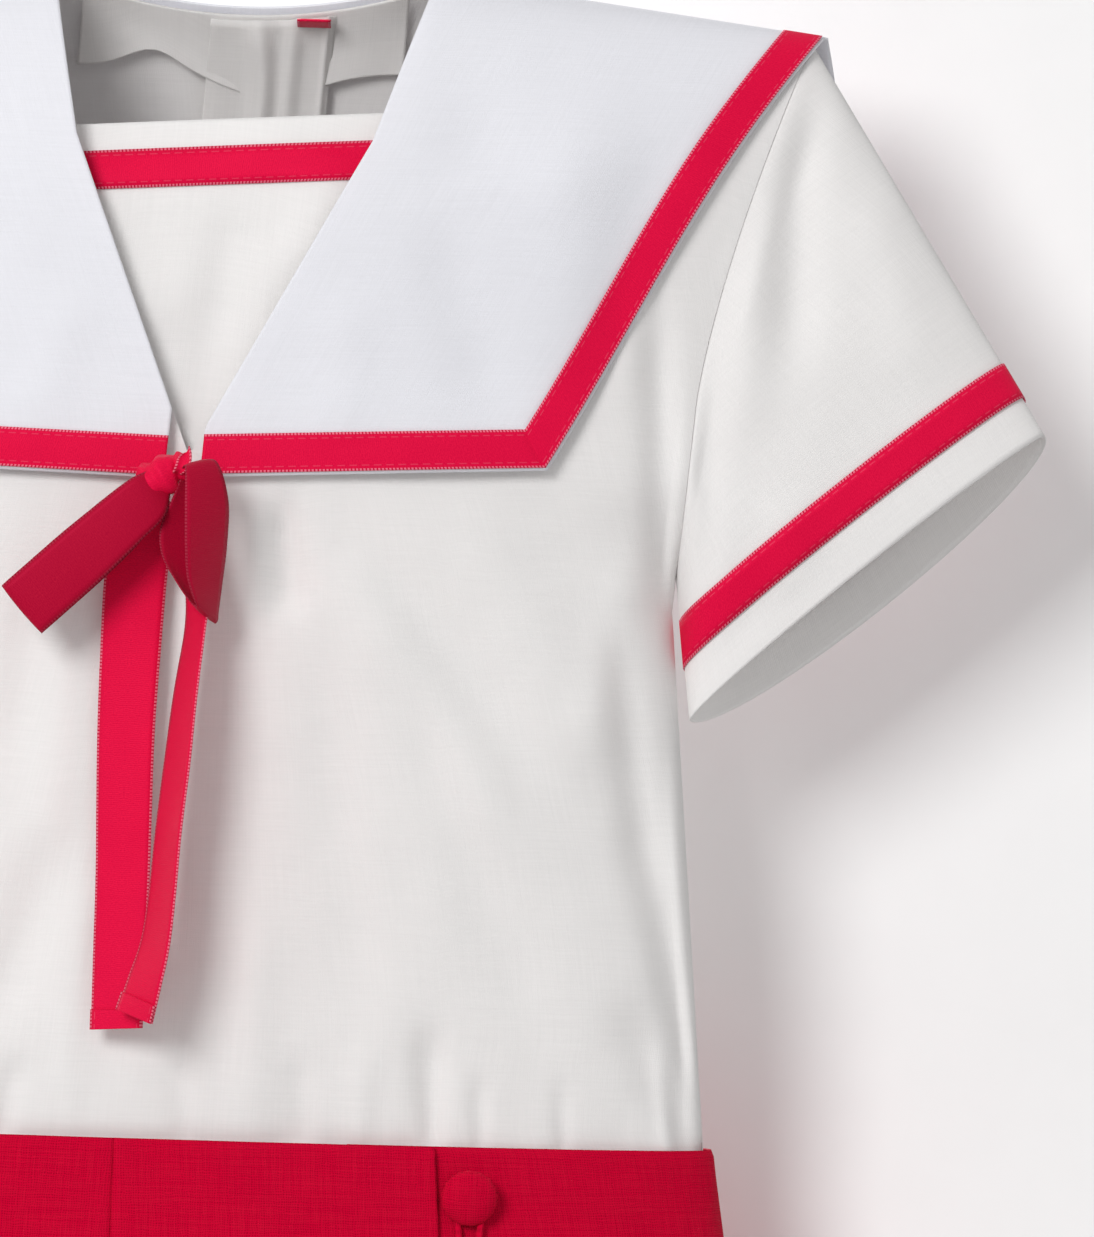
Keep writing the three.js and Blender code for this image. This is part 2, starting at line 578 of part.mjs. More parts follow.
function bow() {
  const stem = new THREE.CylinderGeometry(STEM_R, STEM_R, 1, 10);
  const stemFar = -depth(0, KNOT_Z, 0) - SEAM;
  const knot = add('bow_knot', bowKnot(), SATIN_RED);
  knot.rotation.z = Math.PI / 2;
  const knotX = KNOT_X + LEAN * (KNOT_Z - NECK_Z);
  knot.position.set(knotX, KNOT_Y, KNOT_Z - NECK_Z);
  const anchor = add('bow_anchor', solidOf(stem), SATIN_RED);
  const length = stemFar - KNOT_Y - KNOT_R - SEAM;
  anchor.scale.y = length;
  anchor.position.set(knotX + STEM_SHIFT, stemFar - length / 2, KNOT_Z - NECK_Z);

  const fromKnot = ([x, y, z]) => new THREE.Vector3(KNOT_X + x, KNOT_Y + y, KNOT_Z + z);
  const leftWay = new THREE.Vector3(-Math.cos(LEFT_LOOP_FALL), 0, -Math.sin(LEFT_LOOP_FALL));
  const leftAcross = new THREE.Vector3(leftWay.z, 0, -leftWay.x);
  add('bow_loop_left', bowLoop(fromKnot(LEFT_LOOP_START), leftWay, leftAcross, LEFT_LOOP_LENGTH,
    LEFT_LOOP_THICK), SATIN_RED);
  const rightWay = new THREE.Vector3(0, 0, -1);
  const rightAcross = new THREE.Vector3(Math.cos(RIGHT_LOOP_TURN), Math.sin(RIGHT_LOOP_TURN), 0);
  add('bow_loop_right', bowLoop(fromKnot(RIGHT_LOOP_START), rightWay, rightAcross, RIGHT_LOOP_LENGTH,
    RIGHT_LOOP_THICK), SATIN_RED);

  // Each tail leaves the knot's underside, falls back towards the chest and hangs from there.
  const tailTop = KNOT_Z - KNOT_R - SEAM;
  const chestY = -depth(0, KNOT_Z, 0) - TAIL_CLEAR;
  const settled = (t) => THREE.MathUtils.smoothstep(t, 0, TAIL_SETTLED);
  const straight = (t) => [KNOT_X - 0.45 * BOW_WIDTH, lerp(KNOT_Y + 2, chestY, settled(t)),
    lerp(tailTop, TAIL_END_Z, t)];
  add('bow_tail_left', bowTail(straight, () => BOW_WIDTH, () => 0), SATIN_RED);
  const opened = (t) => THREE.MathUtils.smoothstep(t, ...TAIL_OPEN);
  const slanted = (t) => {
    const x = KNOT_X + lerp(GATHERED / 2, BOW_WIDTH / 2, settled(t)) - TAIL_SLANT * t * t;
    const y = lerp(KNOT_Y, chestY - TAIL_LAP, settled(t)) - TAIL_STAND * opened(t);
    return [x, y, lerp(tailTop, TAIL2_END_Z, t)];
  };
  const width = (t) => lerp(GATHERED, BOW_WIDTH, opened(t));
  add('bow_tail_right', bowTail(slanted, width, (t) => TAIL_TURN * opened(t)), SATIN_RED);
}

// ---- hang loop: a folded tab of ribbon in the back neck seam ----
function hangLoop() {
  const low = backNeckZ(HANG_LOOP_X[0]) - HANG_LOOP_DROP;
  const tab = layer((u, v, outer, target) => {
    const y = depth(HANG_LOOP_X[1], low + CLOTH, FACING_LIFT) - HANG_LOOP_GAP - HANG_LOOP_REACH * v;
    target.set(lerp(...HANG_LOOP_X, u), y, low - NECK_Z + CLOTH * outer);
  }, 2, 3);
  add('hang_loop', tab, SATIN_RED);
}

bodice();
backFacings();
dickey();
collar();
sleeves();
skirt();
buttons();
bow();
hangLoop();

export default uniform;
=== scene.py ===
"""A child's sailor-collar cheer uniform, hanging: a white cotton top trimmed with red satin ribbon,
a ribbon bow, and a red linen panelled skirt with covered buttons.

Pattern sizes are in millimetres. Heights are given from the waist seam, and x from the garment's own
middle line, which leans a little; placed() takes both into the frame, in metres.
"""

import math

import bpy
import numpy as np
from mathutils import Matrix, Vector


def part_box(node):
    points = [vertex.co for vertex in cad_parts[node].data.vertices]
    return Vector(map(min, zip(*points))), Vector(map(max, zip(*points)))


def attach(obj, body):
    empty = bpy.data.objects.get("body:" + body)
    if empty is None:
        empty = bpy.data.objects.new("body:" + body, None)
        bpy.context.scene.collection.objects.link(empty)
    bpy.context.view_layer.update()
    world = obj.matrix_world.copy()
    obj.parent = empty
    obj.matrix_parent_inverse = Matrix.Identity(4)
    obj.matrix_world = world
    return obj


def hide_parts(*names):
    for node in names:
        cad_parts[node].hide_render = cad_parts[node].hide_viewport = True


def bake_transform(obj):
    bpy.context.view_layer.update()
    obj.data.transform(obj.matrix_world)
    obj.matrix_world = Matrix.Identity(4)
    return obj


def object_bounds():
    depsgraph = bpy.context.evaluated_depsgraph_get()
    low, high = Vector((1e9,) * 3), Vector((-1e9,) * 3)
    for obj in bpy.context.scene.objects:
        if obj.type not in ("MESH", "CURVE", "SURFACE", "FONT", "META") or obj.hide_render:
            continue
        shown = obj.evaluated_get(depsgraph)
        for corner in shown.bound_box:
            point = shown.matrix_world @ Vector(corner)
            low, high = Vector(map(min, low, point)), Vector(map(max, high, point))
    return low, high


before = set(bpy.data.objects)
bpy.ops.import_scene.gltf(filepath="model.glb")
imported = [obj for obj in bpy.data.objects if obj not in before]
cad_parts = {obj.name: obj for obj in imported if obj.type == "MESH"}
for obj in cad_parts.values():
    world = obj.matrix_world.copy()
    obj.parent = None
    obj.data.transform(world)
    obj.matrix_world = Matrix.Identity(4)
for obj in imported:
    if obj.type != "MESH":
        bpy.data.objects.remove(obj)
CAD_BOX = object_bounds()

bl_info = {
    "name": "Cheer uniform",
    "version": (1, 0, 0),
    "blender": (4, 5, 0),
    "location": "View3D > Sidebar > Uniform",
    "description": "Builds the cloth, ribbons and buttons of a sailor-collar cheer uniform",
    "category": "Add Mesh",
}

MM = 0.001

# ---- the garment's pattern, in mm ----
NECK_Z = -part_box("skirt_side_right")[1].z / MM      # the shoulder line, above the waist seam
SKIRT_LENGTH = (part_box("skirt_side_right")[1].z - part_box("skirt_side_right")[0].z) / MM
TUCK = -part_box("bodice_front")[0].z / MM - NECK_Z
WAIST_HALF = 149.5
CHEST_HALF = 126.4
SHOULDER_HALF = 150.0
CHEST_Z = 137.6
UNDERARM_Z = 146.0
NECK_HALF = 48.5
SHOULDER_SLOPE = 0.1225
SHOULDER_ROUND = 75.0
SPREAD_Z = 190.0
ARMHOLE_RISE = 30.0
WAIST_DEPTH = 28.0
CHEST_DEPTH = 34.0
ARM_OPENING = 0.8
LEAN = 0.079
APEX_Z = 173.0
V_TOP_Z = 254.0
V_HALF = 37.4
BACK_NECK_DIP = 8.0
SKIRT_FLARE = 0.15
SKIRT_DEEPEN = 0.16

COLLAR_LIFT = 2.2
COLLAR_Z = 173.5
# Each flap hangs a little differently: its inner corner's x and height, and its outer corner's height.
FLAP_CORNERS = {-1: (5.5, 167.2, 169.4), 1: (3.4, 167.8, 172.2)}
COLLAR_ROLL = 3.4
COLLAR_CORNER_X = 90.6
COLLAR_SHOULDER_X = 149.2
CAPE_HALF = 150.0
CAPE_BULGE = 6.0
FLAP_BEND = (-11, -85)              # heights between which a front flap bends, from the shoulder line
CAPE_BEND = (0.5, -41)              # and those of the collar's back
TRIM_MARGIN = 0.8
TRIM_WIDTH = 10.0
TRIM_LIFT = 0.45
BOW_WIDTH = 16.0
HEM_STANDS = 0.7                    # a tail's folded hem lies this far proud of the ribbon
COLLAR_LAYERS = 1.8                 # thickness of the doubled collar, in layers of the cotton

DICKEY_Z = 259.0
DICKEY_BASE_Z = 160.0
DICKEY_MARGIN = 8.0
DICKEY_BAND = 7.0
DICKEY_LIFT = -4.4
DICKEY_TILT = 0.07

SLEEVE_TOP = (216.7, 185.4)
SLEEVE_LOW = (133.9, 110.0)
HEM_DEPTH = 12.0
HEM_RISE = 3.0
HEM_DROP = 9.0
SLEEVE_HEM = 11.0
SLEEVE_BEND = ((136.0, 213.0), (168.0, 207.0))      # x and height where a sleeve's bend starts and ends

PANEL_EDGE = 81.0
UNDERLAP = 22.0
SIDE_LIFT = 1.6
FLARE_Y = 0.032                     # the flare's bend lies this far from the middle plane, in metres
FLARE_BEND = (2, 60)                # and runs between these drops below the waist seam
PANEL_LIFT = 3.4
PLACKET_EDGE = -12.0
PLACKET_INNER = (-8.6, 23.4)
PLACKET_LIFT = -4.2
FACING_LIFT = -2.4
FACING_HALF = 42.0
SIDES = (("left", -1), ("right", 1))

# ---- fastenings, in mm ----
ROULEAU_RADIUS = 0.9
BUTTON_TILT = 0.14                  # the covered buttons lean up a little, in radians
HOLE_RADIUS = 0.55
HOLE_SIDES = 14
HOLE_STEP = 1.05                    # from a shirt button's middle to its holes, each way
STRAND_RADIUS = 0.17
BUTTON_TWIST = 0.3                  # each shirt button is turned this much more than the last, in radians
HANG_LOOP_WIDTH = 8.6


def srgb(code):
    """Linear colour of an sRGB hex value."""
    parts = [int(code[i : i + 2], 16) / 255 for i in (0, 2, 4)]
    return tuple(c / 12.92 if c < 0.04045 else ((c + 0.055) / 1.055) ** 2.4 for c in parts)


class UniformSettings(bpy.types.PropertyGroup):
    """Sizes and colours of the uniform that a user would change."""

    cotton_thickness: bpy.props.FloatProperty(
        name="Cotton thickness", description="Thickness of one layer of the white poplin",
        default=0.00045, min=0.0002, max=0.0012, precision=5, unit="LENGTH", subtype="DISTANCE")
    linen_thickness: bpy.props.FloatProperty(
        name="Linen thickness", description="Thickness of the red linen, folded edges included",
        default=0.0009, min=0.0003, max=0.0015, precision=5, unit="LENGTH", subtype="DISTANCE")
    ribbon_thickness: bpy.props.FloatProperty(
        name="Ribbon thickness", description="Thickness of the satin ribbon",
        default=0.0003, min=0.0001, max=0.0006, precision=5, unit="LENGTH", subtype="DISTANCE")
    crease_share: bpy.props.FloatProperty(
        name="Creases", description="Depth of the folds and creases, as a share of the usual",
        default=1.3, min=0.0, max=1.6, subtype="FACTOR")
    thread_spacing: bpy.props.FloatProperty(
        name="Linen thread spacing", description="Distance between the linen's threads",
        default=0.00062, min=0.0003, max=0.0015, precision=5, unit="LENGTH", subtype="DISTANCE")
    cotton_colour: bpy.props.FloatVectorProperty(
        name="Cotton", description="Colour of the white poplin", subtype="COLOR", size=3,
        default=srgb("f8f6f5"), min=0, max=1)
    collar_colour: bpy.props.FloatVectorProperty(
        name="Collar", description="Colour of the collar's cooler white", subtype="COLOR", size=3,
        default=srgb("f4f4f9"), min=0, max=1)
    ribbon_colour: bpy.props.FloatVectorProperty(
        name="Ribbon", description="Colour of the satin ribbon", subtype="COLOR", size=3,
        default=srgb("e0083f"), min=0, max=1)
    linen_colour: bpy.props.FloatVectorProperty(
        name="Linen", description="Colour of the red linen", subtype="COLOR", size=3,
        default=srgb("c8022f"), min=0, max=1)
    button_colour: bpy.props.FloatVectorProperty(
        name="Shirt buttons", description="Colour of the back's shirt buttons", subtype="COLOR",
        size=3, default=srgb("efece4"), min=0, max=1)
    backdrop_colour: bpy.props.FloatVectorProperty(
        name="Backdrop", description="Colour of the wall and floor", subtype="COLOR", size=3,
        default=srgb("f3f3f3"), min=0, max=1)


def settings():
    return bpy.context.scene.uniform_settings


# ---- the body's surface ----
def smooth(a, b, x):
    t = np.clip((x - a) / (b - a), 0, 1)
    return t * t * (3 - 2 * t)


def lerp(a, b, t):
    return a + (b - a) * t


def half_width(z):
    side = lerp(WAIST_HALF, CHEST_HALF, np.clip(z / CHEST_Z, 0, 1))
    above = np.clip((z - SPREAD_Z) / (NECK_Z - SPREAD_Z), 0, None)
    body = side + (SHOULDER_HALF - CHEST_HALF) * above**1.5
    return np.where(z < 0, WAIST_HALF - SKIRT_FLARE * z, body)


def half_depth(z):
    t = np.clip(z / CHEST_Z, 0, 1)
    body = lerp(WAIST_DEPTH, CHEST_DEPTH, t * (2 - t))
    return np.where(z < 0, WAIST_DEPTH - SKIRT_DEEPEN * z, body)


def shoulder(x):
    return NECK_Z - SHOULDER_SLOPE * np.clip(np.abs(x) - NECK_HALF, 0, None)


def depth(x, z, lift):
    """Distance of the front or back from the middle plane, for a layer lying lift off the bodice."""
    opened = smooth(UNDERARM_Z, UNDERARM_Z + ARMHOLE_RISE, z)
    u = np.clip(np.abs(x) / (half_width(z) + lift), 0, 1)
    across = np.sqrt(np.clip(1 - lerp(1, ARM_OPENING, opened) * u * u, 0, 1))
    s = np.clip((shoulder(x) + lift - z) / SHOULDER_ROUND, 0, 1)
    down = np.sqrt(1 - (1 - s) ** 2)
    return (half_depth(z) + lift) * across * down


def v_neck_x(z):
    low = V_HALF * np.clip(z - APEX_Z, 0, None) / (V_TOP_Z - APEX_Z)
    high = V_HALF + (NECK_HALF - V_HALF) * (z - V_TOP_Z) / (NECK_Z - V_TOP_Z)
    return np.where(z < V_TOP_Z, low, high)


def v_neck_z(x):
    low = APEX_Z + (V_TOP_Z - APEX_Z) * x / V_HALF
    high = V_TOP_Z + (NECK_Z - V_TOP_Z) * (x - V_HALF) / (NECK_HALF - V_HALF)
    return np.where(x < V_HALF, low, high)


def back_neck_z(x):
    return NECK_Z - BACK_NECK_DIP * (1 - (x / NECK_HALF) ** 2)


def placed(x, y, z):
    """Pattern point to the frame: x leans with the middle line."""
    x, y, z = np.broadcast_arrays(x, y, z)
    return np.stack([x + LEAN * (np.clip(z, 0, None) - NECK_Z), y, z - NECK_Z], -1) * MM


def on_body(x, z, lift, side):
    return placed(x, side * depth(x, z, lift), z)


def bunched(t):
    """Rows lie closer together near the shoulder line."""
    return 1 - (1 - t) ** 2


# ---- folds and creases ----
def bumps(a, b, size, seed):
    """Smooth heights from -1 to 1 with bumps about size across."""
    table = np.random.RandomState(seed).uniform(-1, 1, (64, 64))
    s, t = a / size + 320.5, b / size + 320.5
    i, j = np.floor(s).astype(int), np.floor(t).astype(int)
    f, g = s - i, t - j
    f, g = f * f * (3 - 2 * f), g * g * (3 - 2 * g)
    near = lerp(table[i % 64, j % 64], table[(i + 1) % 64, j % 64], f)
    far = lerp(table[i % 64, (j + 1) % 64], table[(i + 1) % 64, (j + 1) % 64], f)
    return lerp(near, far, g)


def fold(x, z, x0, z0, x1, z1, width, height, end_width=None):
    """One soft fold from (x0, z0) to (x1, z1): out where height is positive, in where it's negative."""
    dx, dz = x1 - x0, z1 - z0
    length = math.hypot(dx, dz)
    t = ((x - x0) * dx + (z - z0) * dz) / length**2
    off = ((x - x0) * dz - (z - z0) * dx) / length
    wide = lerp(width, width if end_width is None else end_width, np.clip(t, 0, 1))
    ends = smooth(-0.12, 0.3, t) * smooth(1.12, 0.75, t)
    return height * ends * np.exp(-((off / wide) ** 2))


def folds(x, z, rows):
    return sum(fold(x, z, *row) for row in rows) * settings().crease_share


# Folds of the front that fan from the bow to the side, the valleys by the side seam and armhole, and
# the puckers where the cloth is eased into the waist seam.
FRONT_FOLDS = (
    (23.8, 163, 30, 134, 4.0, -3.2, 6.0), (40, 159, 103, 88, 6, -1.6, 9), (44, 148, 92, 72, 7, 1.3, 11),
    (38, 125, 65, 31, 8, -1.3, 10), (56, 128, 107, 22, 6, -1.5, 9), (70, 165, 113, 94, 9, 1.5, 12),
    (50, 100, 70, 20, 6, 1.0, 8), (112, 135, 127, 69, 5, -2.4, 5), (124, 84, 146, 12, 5, -2.6, 4),
    (116, 156, 110, 99, 8, 1.5, 8), (133, 100, 147, 20, 4, 1.2, 4), (76, 30, 81, -2, 5, -2.6, 2.2),
    (90, 18, 93, -2, 3, -1.3, 1.6), (125, 38, 146, 0, 7, -2.2, 3.4), (111, 17, 114, -2, 3, -0.9, 1.6),
    (135, 26, 141, -2, 3, 1.4, 2.0), (14, 22, 18, -2, 4, -0.8, 2.4), (44, 22, 48, -2, 4, -0.9, 2.4),
    (60, 26, 62, -2, 5, 0.9, 3), (30, 60, 34, 2, 6, 0.9, 5), (2, 60, 4, 2, 7, 0.7, 5),
    (-23, 76, -33, 28, 8, -1.8, 7), (-34, 145, -36, 92, 8, -1.2, 8), (-26, 150, -24, 60, 7, 1.1, 8),
    (-27, 20, -29, -2, 4, -1.3, 2.0), (-16, 74, -13, 2, 6, 0.9, 5), (-48, 140, -96, 60, 8, -1.5, 10),
    (-60, 150, -112, 80, 9, 1.2, 11), (-62, 96, -84, 12, 7, -1.4, 8), (-112, 135, -128, 68, 5, -2.2, 5),
    (-122, 80, -143, 10, 5, -2.2, 4), (-96, 24, -101, -2, 4, -2.0, 2), (-58, 20, -61, -2, 4, -1.2, 2),
)
ARMHOLE_FOLDS = (
    (113, 220, 124, 140, 4.5, -2.6, 4.5), (104, 240, 108, 190, 6, 1.0, 6),
)
SLEEVE_FOLDS = (
    (144, 276, 150, 200, 5.5, -2.6, 7), (138, 268, 126, 212, 3.0, -1.8, 3.5), (134, 250, 139, 180, 6, 1.6, 8),
    (129, 205, 134, 140, 4.5, -1.2, 4), (163, 246, 186, 199, 9, 1.1, 9), (150, 170, 158, 140, 8, 0.9, 8),
)
COLLAR_FOLDS = (
    (58, 290, 65, 246, 9, -1.3, 10), (56, 235, 77, 186, 8, -1.3, 10), (86, 262, 92, 200, 12, 1.0, 12),
    (97, 280, 84, 236, 10, 0.9, 12), (112, 262, 100, 205, 8, -0.9, 7), (34, 214, 40, 180, 8, 0.8, 8),
)
BACK_FOLDS = (
    (40, 150, 86, 60, 8, -1.8, 10), (-44, 152, -92, 56, 8, -1.8, 10), (70, 120, 108, 24, 7, 1.4, 9),
    (-70, 120, -110, 24, 7, 1.4, 9), (112, 135, 128, 60, 5, -2.4, 5), (-112, 135, -128, 60, 5, -2.4, 5),
    (60, 28, 64, -2, 5, -2.2, 2.2), (-52, 28, -56, -2, 5, -2.2, 2.2), (96, 22, 99, -2, 4, -1.6, 2),
    (-98, 22, -101, -2, 4, -1.6, 2), (30, 90, 34, 10, 6, 1.0, 6), (-34, 90, -38, 10, 6, 1.0, 6),
)


def front_relief(x, z):
    """How far the front's cloth stands off its plain shape. It lies flat under the collar."""
    drape = folds(x, z, FRONT_FOLDS) + 0.8 * bumps(x, z * 0.6, 34, 3) + 0.22 * bumps(x, z, 11, 4)
    eased = 0.7 * np.exp(-np.clip(z, 0, None) / 9) * bumps(x, z * 0.2, 6.5, 5)
    free = smooth(COLLAR_Z + 4, COLLAR_Z - 8, z)
    beside = folds(np.abs(x), z, ARMHOLE_FOLDS) + 0.4 * bumps(x, z, 17, 6)
    return (drape + eased) * free + beside * smooth(88, 104, np.abs(x)) * smooth(262, 240, z)


def back_relief(x, z):
    drape = folds(x, z, BACK_FOLDS) + 0.8 * bumps(x, z * 0.6, 34, 13) + 0.2 * bumps(x, z, 11, 14)
    eased = 0.7 * np.exp(-np.clip(z, 0, None) / 9) * bumps(x, z * 0.2, 6.5, 15)
    flat = smooth(4, 20, np.abs(x - 2))
    return (drape * lerp(0.3, 1, flat) + eased) * smooth(COLLAR_Z + 4, COLLAR_Z - 8, z)


def collar_relief(x, z, side):
    """Lift of the collar off the bodice: a soft wave, and lower edges that stand a little off."""
    wave = folds(np.abs(x), z, COLLAR_FOLDS) if side < 0 else 0
    wave = wave + 0.6 * bumps(x, z, 40, 23 + side) + 0.12 * bumps(x, z, 12, 27)
    free = smooth(NECK_Z - 6, NECK_Z - 60, z)
    edge = 1.3 * smooth(COLLAR_Z + 26, COLLAR_Z, z)
    return COLLAR_LIFT + 0.9 * free + wave * free + edge


# ---- meshes ----
def mesh_of(name, points, uv, closed=False):
    """A sheet of quads from rows of points, or a ring of them. uv is in mm of cloth."""
    rows, cols = points.shape[:2]
    flat = points.reshape(-1, 3)
    mesh = bpy.data.meshes.new(name)
    wrap = cols if closed else cols - 1
    r, c = np.meshgrid(np.arange(rows - 1), np.arange(wrap), indexing="ij")
    nxt = (c + 1) % cols
    quads = np.stack([r * cols + c, r * cols + nxt, (r + 1) * cols + nxt, (r + 1) * cols + c], -1)
    mesh.from_pydata(flat.tolist(), [], quads.reshape(-1, 4).tolist())
    layer = mesh.uv_layers.new(name="UVMap")
    corner = np.stack([uv[r, c], uv[r, c + 1], uv[r + 1, c + 1], uv[r + 1, c]], 2)
    layer.data.foreach_set("uv", corner.reshape(-1).astype(np.float32))
    mesh.polygons.foreach_set("use_smooth", [True] * len(mesh.polygons))
    mesh.update()
    obj = bpy.data.objects.new(name, mesh)
    bpy.context.scene.collection.objects.link(obj)
    return obj


def lengths(points):
    """Distance along and across a sheet of points, in mm."""
    along = np.zeros(points.shape[:2])
    across = np.zeros(points.shape[:2])
    along[1:] = np.cumsum(np.linalg.norm(np.diff(points, axis=0), axis=-1), 0) / MM
    across[:, 1:] = np.cumsum(np.linalg.norm(np.diff(points, axis=1), axis=-1), 1) / MM
    return across, along


def cut_of(points, closed=False, width=None):
    """Width, length and area of the flat piece that a sheet is cut from, in metres. width is in mm
    where the cut's own is known; otherwise it's the longest row's."""
    ring = np.concatenate([points, points[:, :1]], 1) if closed else points
    across, along = lengths(ring)
    a = np.linalg.norm(np.cross(ring[1:, 1:] - ring[:-1, :-1], ring[1:, :-1] - ring[:-1, 1:]), axis=-1)
    width = max((width or float(across[:, -1].max())) * MM, 0.01)
    length = float(along[-1].max()) * MM
    area = float(a.sum()) / 2
    return (width, length), min(max(area, 0.301 * width * length), width * length)


def finish_sheet(obj, material, nodes, thickness, bodies, offset=-1):
    """Gives a sheet its thickness, finish and place: bodies is a body that it rides on, or two bodies and the
    ends of a bend, for which its transform is only baked into its mesh. offset is -1 where the thickness
    grows inwards and 0 where it grows to both sides."""
    obj.data.materials.append(material)
    if thickness:
        solid = obj.modifiers.new("Cloth thickness", "SOLIDIFY")
        solid.thickness = thickness
        solid.offset = offset
        solid.use_even_offset = False
    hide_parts(*nodes)
    if isinstance(bodies, str):
        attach(obj, bodies)
    else:
        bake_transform(obj)


def solid_of(name, points, uv, material, nodes):
    """A closed piece that rides on the bodice, made from rings of points."""
    obj = mesh_of(name, points, uv, closed=True)
    obj.data.materials.append(material)
    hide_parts(*nodes)
    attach(obj, "bodice")
    return obj


def edge_uv(points, width=None):
    """UVs of a ribbon: its distance from the nearer selvedge across, and the distance along it."""
    across, along = lengths(points)
    half = across[:, -1:] / 2
    scale = 1 if width is None else (width / 2) / np.maximum(half, 1e-6)
    near = np.minimum(across, across[:, -1:] - across) * scale
    mean = along.mean(1, keepdims=True) * np.ones_like(near)
    return np.stack([near, mean], -1)


def cloth_uv(points, closed=False):
    ring = np.concatenate([points, points[:, :1]], 1) if closed else points
    across, along = lengths(ring)
    middle = across[:, across.shape[1] // 2][:, None]
    return np.stack([across - middle + 400, along], -1)


def cloth_sheet(name, points, finish, nodes, thickness, bodies, width=None, closed=False):
    """A sheet of cloth, whose flat cut is measured from its points."""
    obj = mesh_of(name, points, cloth_uv(points, closed), closed)
    cut = cut_of(points, closed, width)
    finish_sheet(obj, finish_of(finish), nodes, thickness, bodies)


def ribbon(name, across_points, material, nodes, body, width, flip=False, rests=None):
    """A ribbon whose rows of points run along it. Where rests is given, its flat cut is measured too."""
    points = across_points[:, ::-1] if flip else across_points
    cut = None if rests is None else cut_of(points, width=width)
    obj = mesh_of(name, points, edge_uv(points, width))
    thickness = settings().ribbon_thickness
    finish_sheet(obj, material, nodes, thickness, body, 0)


# ---- materials ----
def node(tree, kind, given=None, **setting):
    """Adds a node: given holds its input values or the sockets that feed them, setting its own options."""
    made = tree.nodes.new(kind)
    for key, value in setting.items():
        setattr(made, key, value)
    for key, value in (given or {}).items():
        if isinstance(value, bpy.types.NodeSocket):
            tree.links.new(value, made.inputs[key])
        else:
            made.inputs[key].default_value = value
    return made


def new_material(name):
    material = bpy.data.materials.new(name)
    material.use_nodes = True
    tree = material.node_tree
    tree.nodes.clear()
    return material, tree


def rgba(colour):
    return (*colour, 1.0)


def darker(colour, share):
    return (*(c * share for c in colour), 1.0)


def surface(tree, colour, roughness, height, bump, reach, through=0.0, **fixed):
    """The shader and its output, with a bump of the given reach in metres. through is the share of the
    light that comes through thin cloth."""
    relief = node(tree, "ShaderNodeBump", {"Strength": bump, "Distance": reach, "Height": height})
    shader = node(tree, "ShaderNodeBsdfPrincipled", {"Base Color": colour, "Roughness": roughness,
                                                     "Normal": relief.outputs[0]})
    for key, value in fixed.items():
        shader.inputs[key.replace("_", " ")].default_value = value
    if through:
        lit = node(tree, "ShaderNodeBsdfTranslucent", {"Color": colour, "Normal": relief.outputs[0]})
        shader = node(tree, "ShaderNodeMixShader", {0: through, 1: shader.outputs[0], 2: lit.outputs[0]})
    node(tree, "ShaderNodeOutputMaterial", {"Surface": shader.outputs[0]})


def threads(tree, place, spacing, turn, drift):
    """Rounded threads across the cloth: place is in mm, turn picks their direction."""
    bent = node(tree, "ShaderNodeTexNoise", {"Vector": place, "Scale": 0.5, "Detail": 2.0})
    shifted = node(tree, "ShaderNodeVectorMath", {0: place, 1: bent.outputs[1]}, operation="ADD").outputs[0]
    wave = node(tree, "ShaderNodeTexWave", {"Vector": shifted, "Scale": 0.314 / spacing,
                                           "Distortion": drift, "Detail": 1.0, "Detail Scale": 0.4},
                wave_type="BANDS", bands_direction=turn)
    return wave.outputs[1]


def slubs(tree, place, across, along, upright):
    """Long soft marks where a thread is thicker: sizes in mm."""
    size = (1 / across, 1 / along, 1.0) if upright else (1 / along, 1 / across, 1.0)
    stretched = node(tree, "ShaderNodeVectorMath", {0: place, 1: size}, operation="MULTIPLY").outputs[0]
    return node(tree, "ShaderNodeTexNoise", {"Vector": stretched, "Scale": 1.0, "Detail": 3.0,
                                             "Roughness": 0.55}).outputs[0]


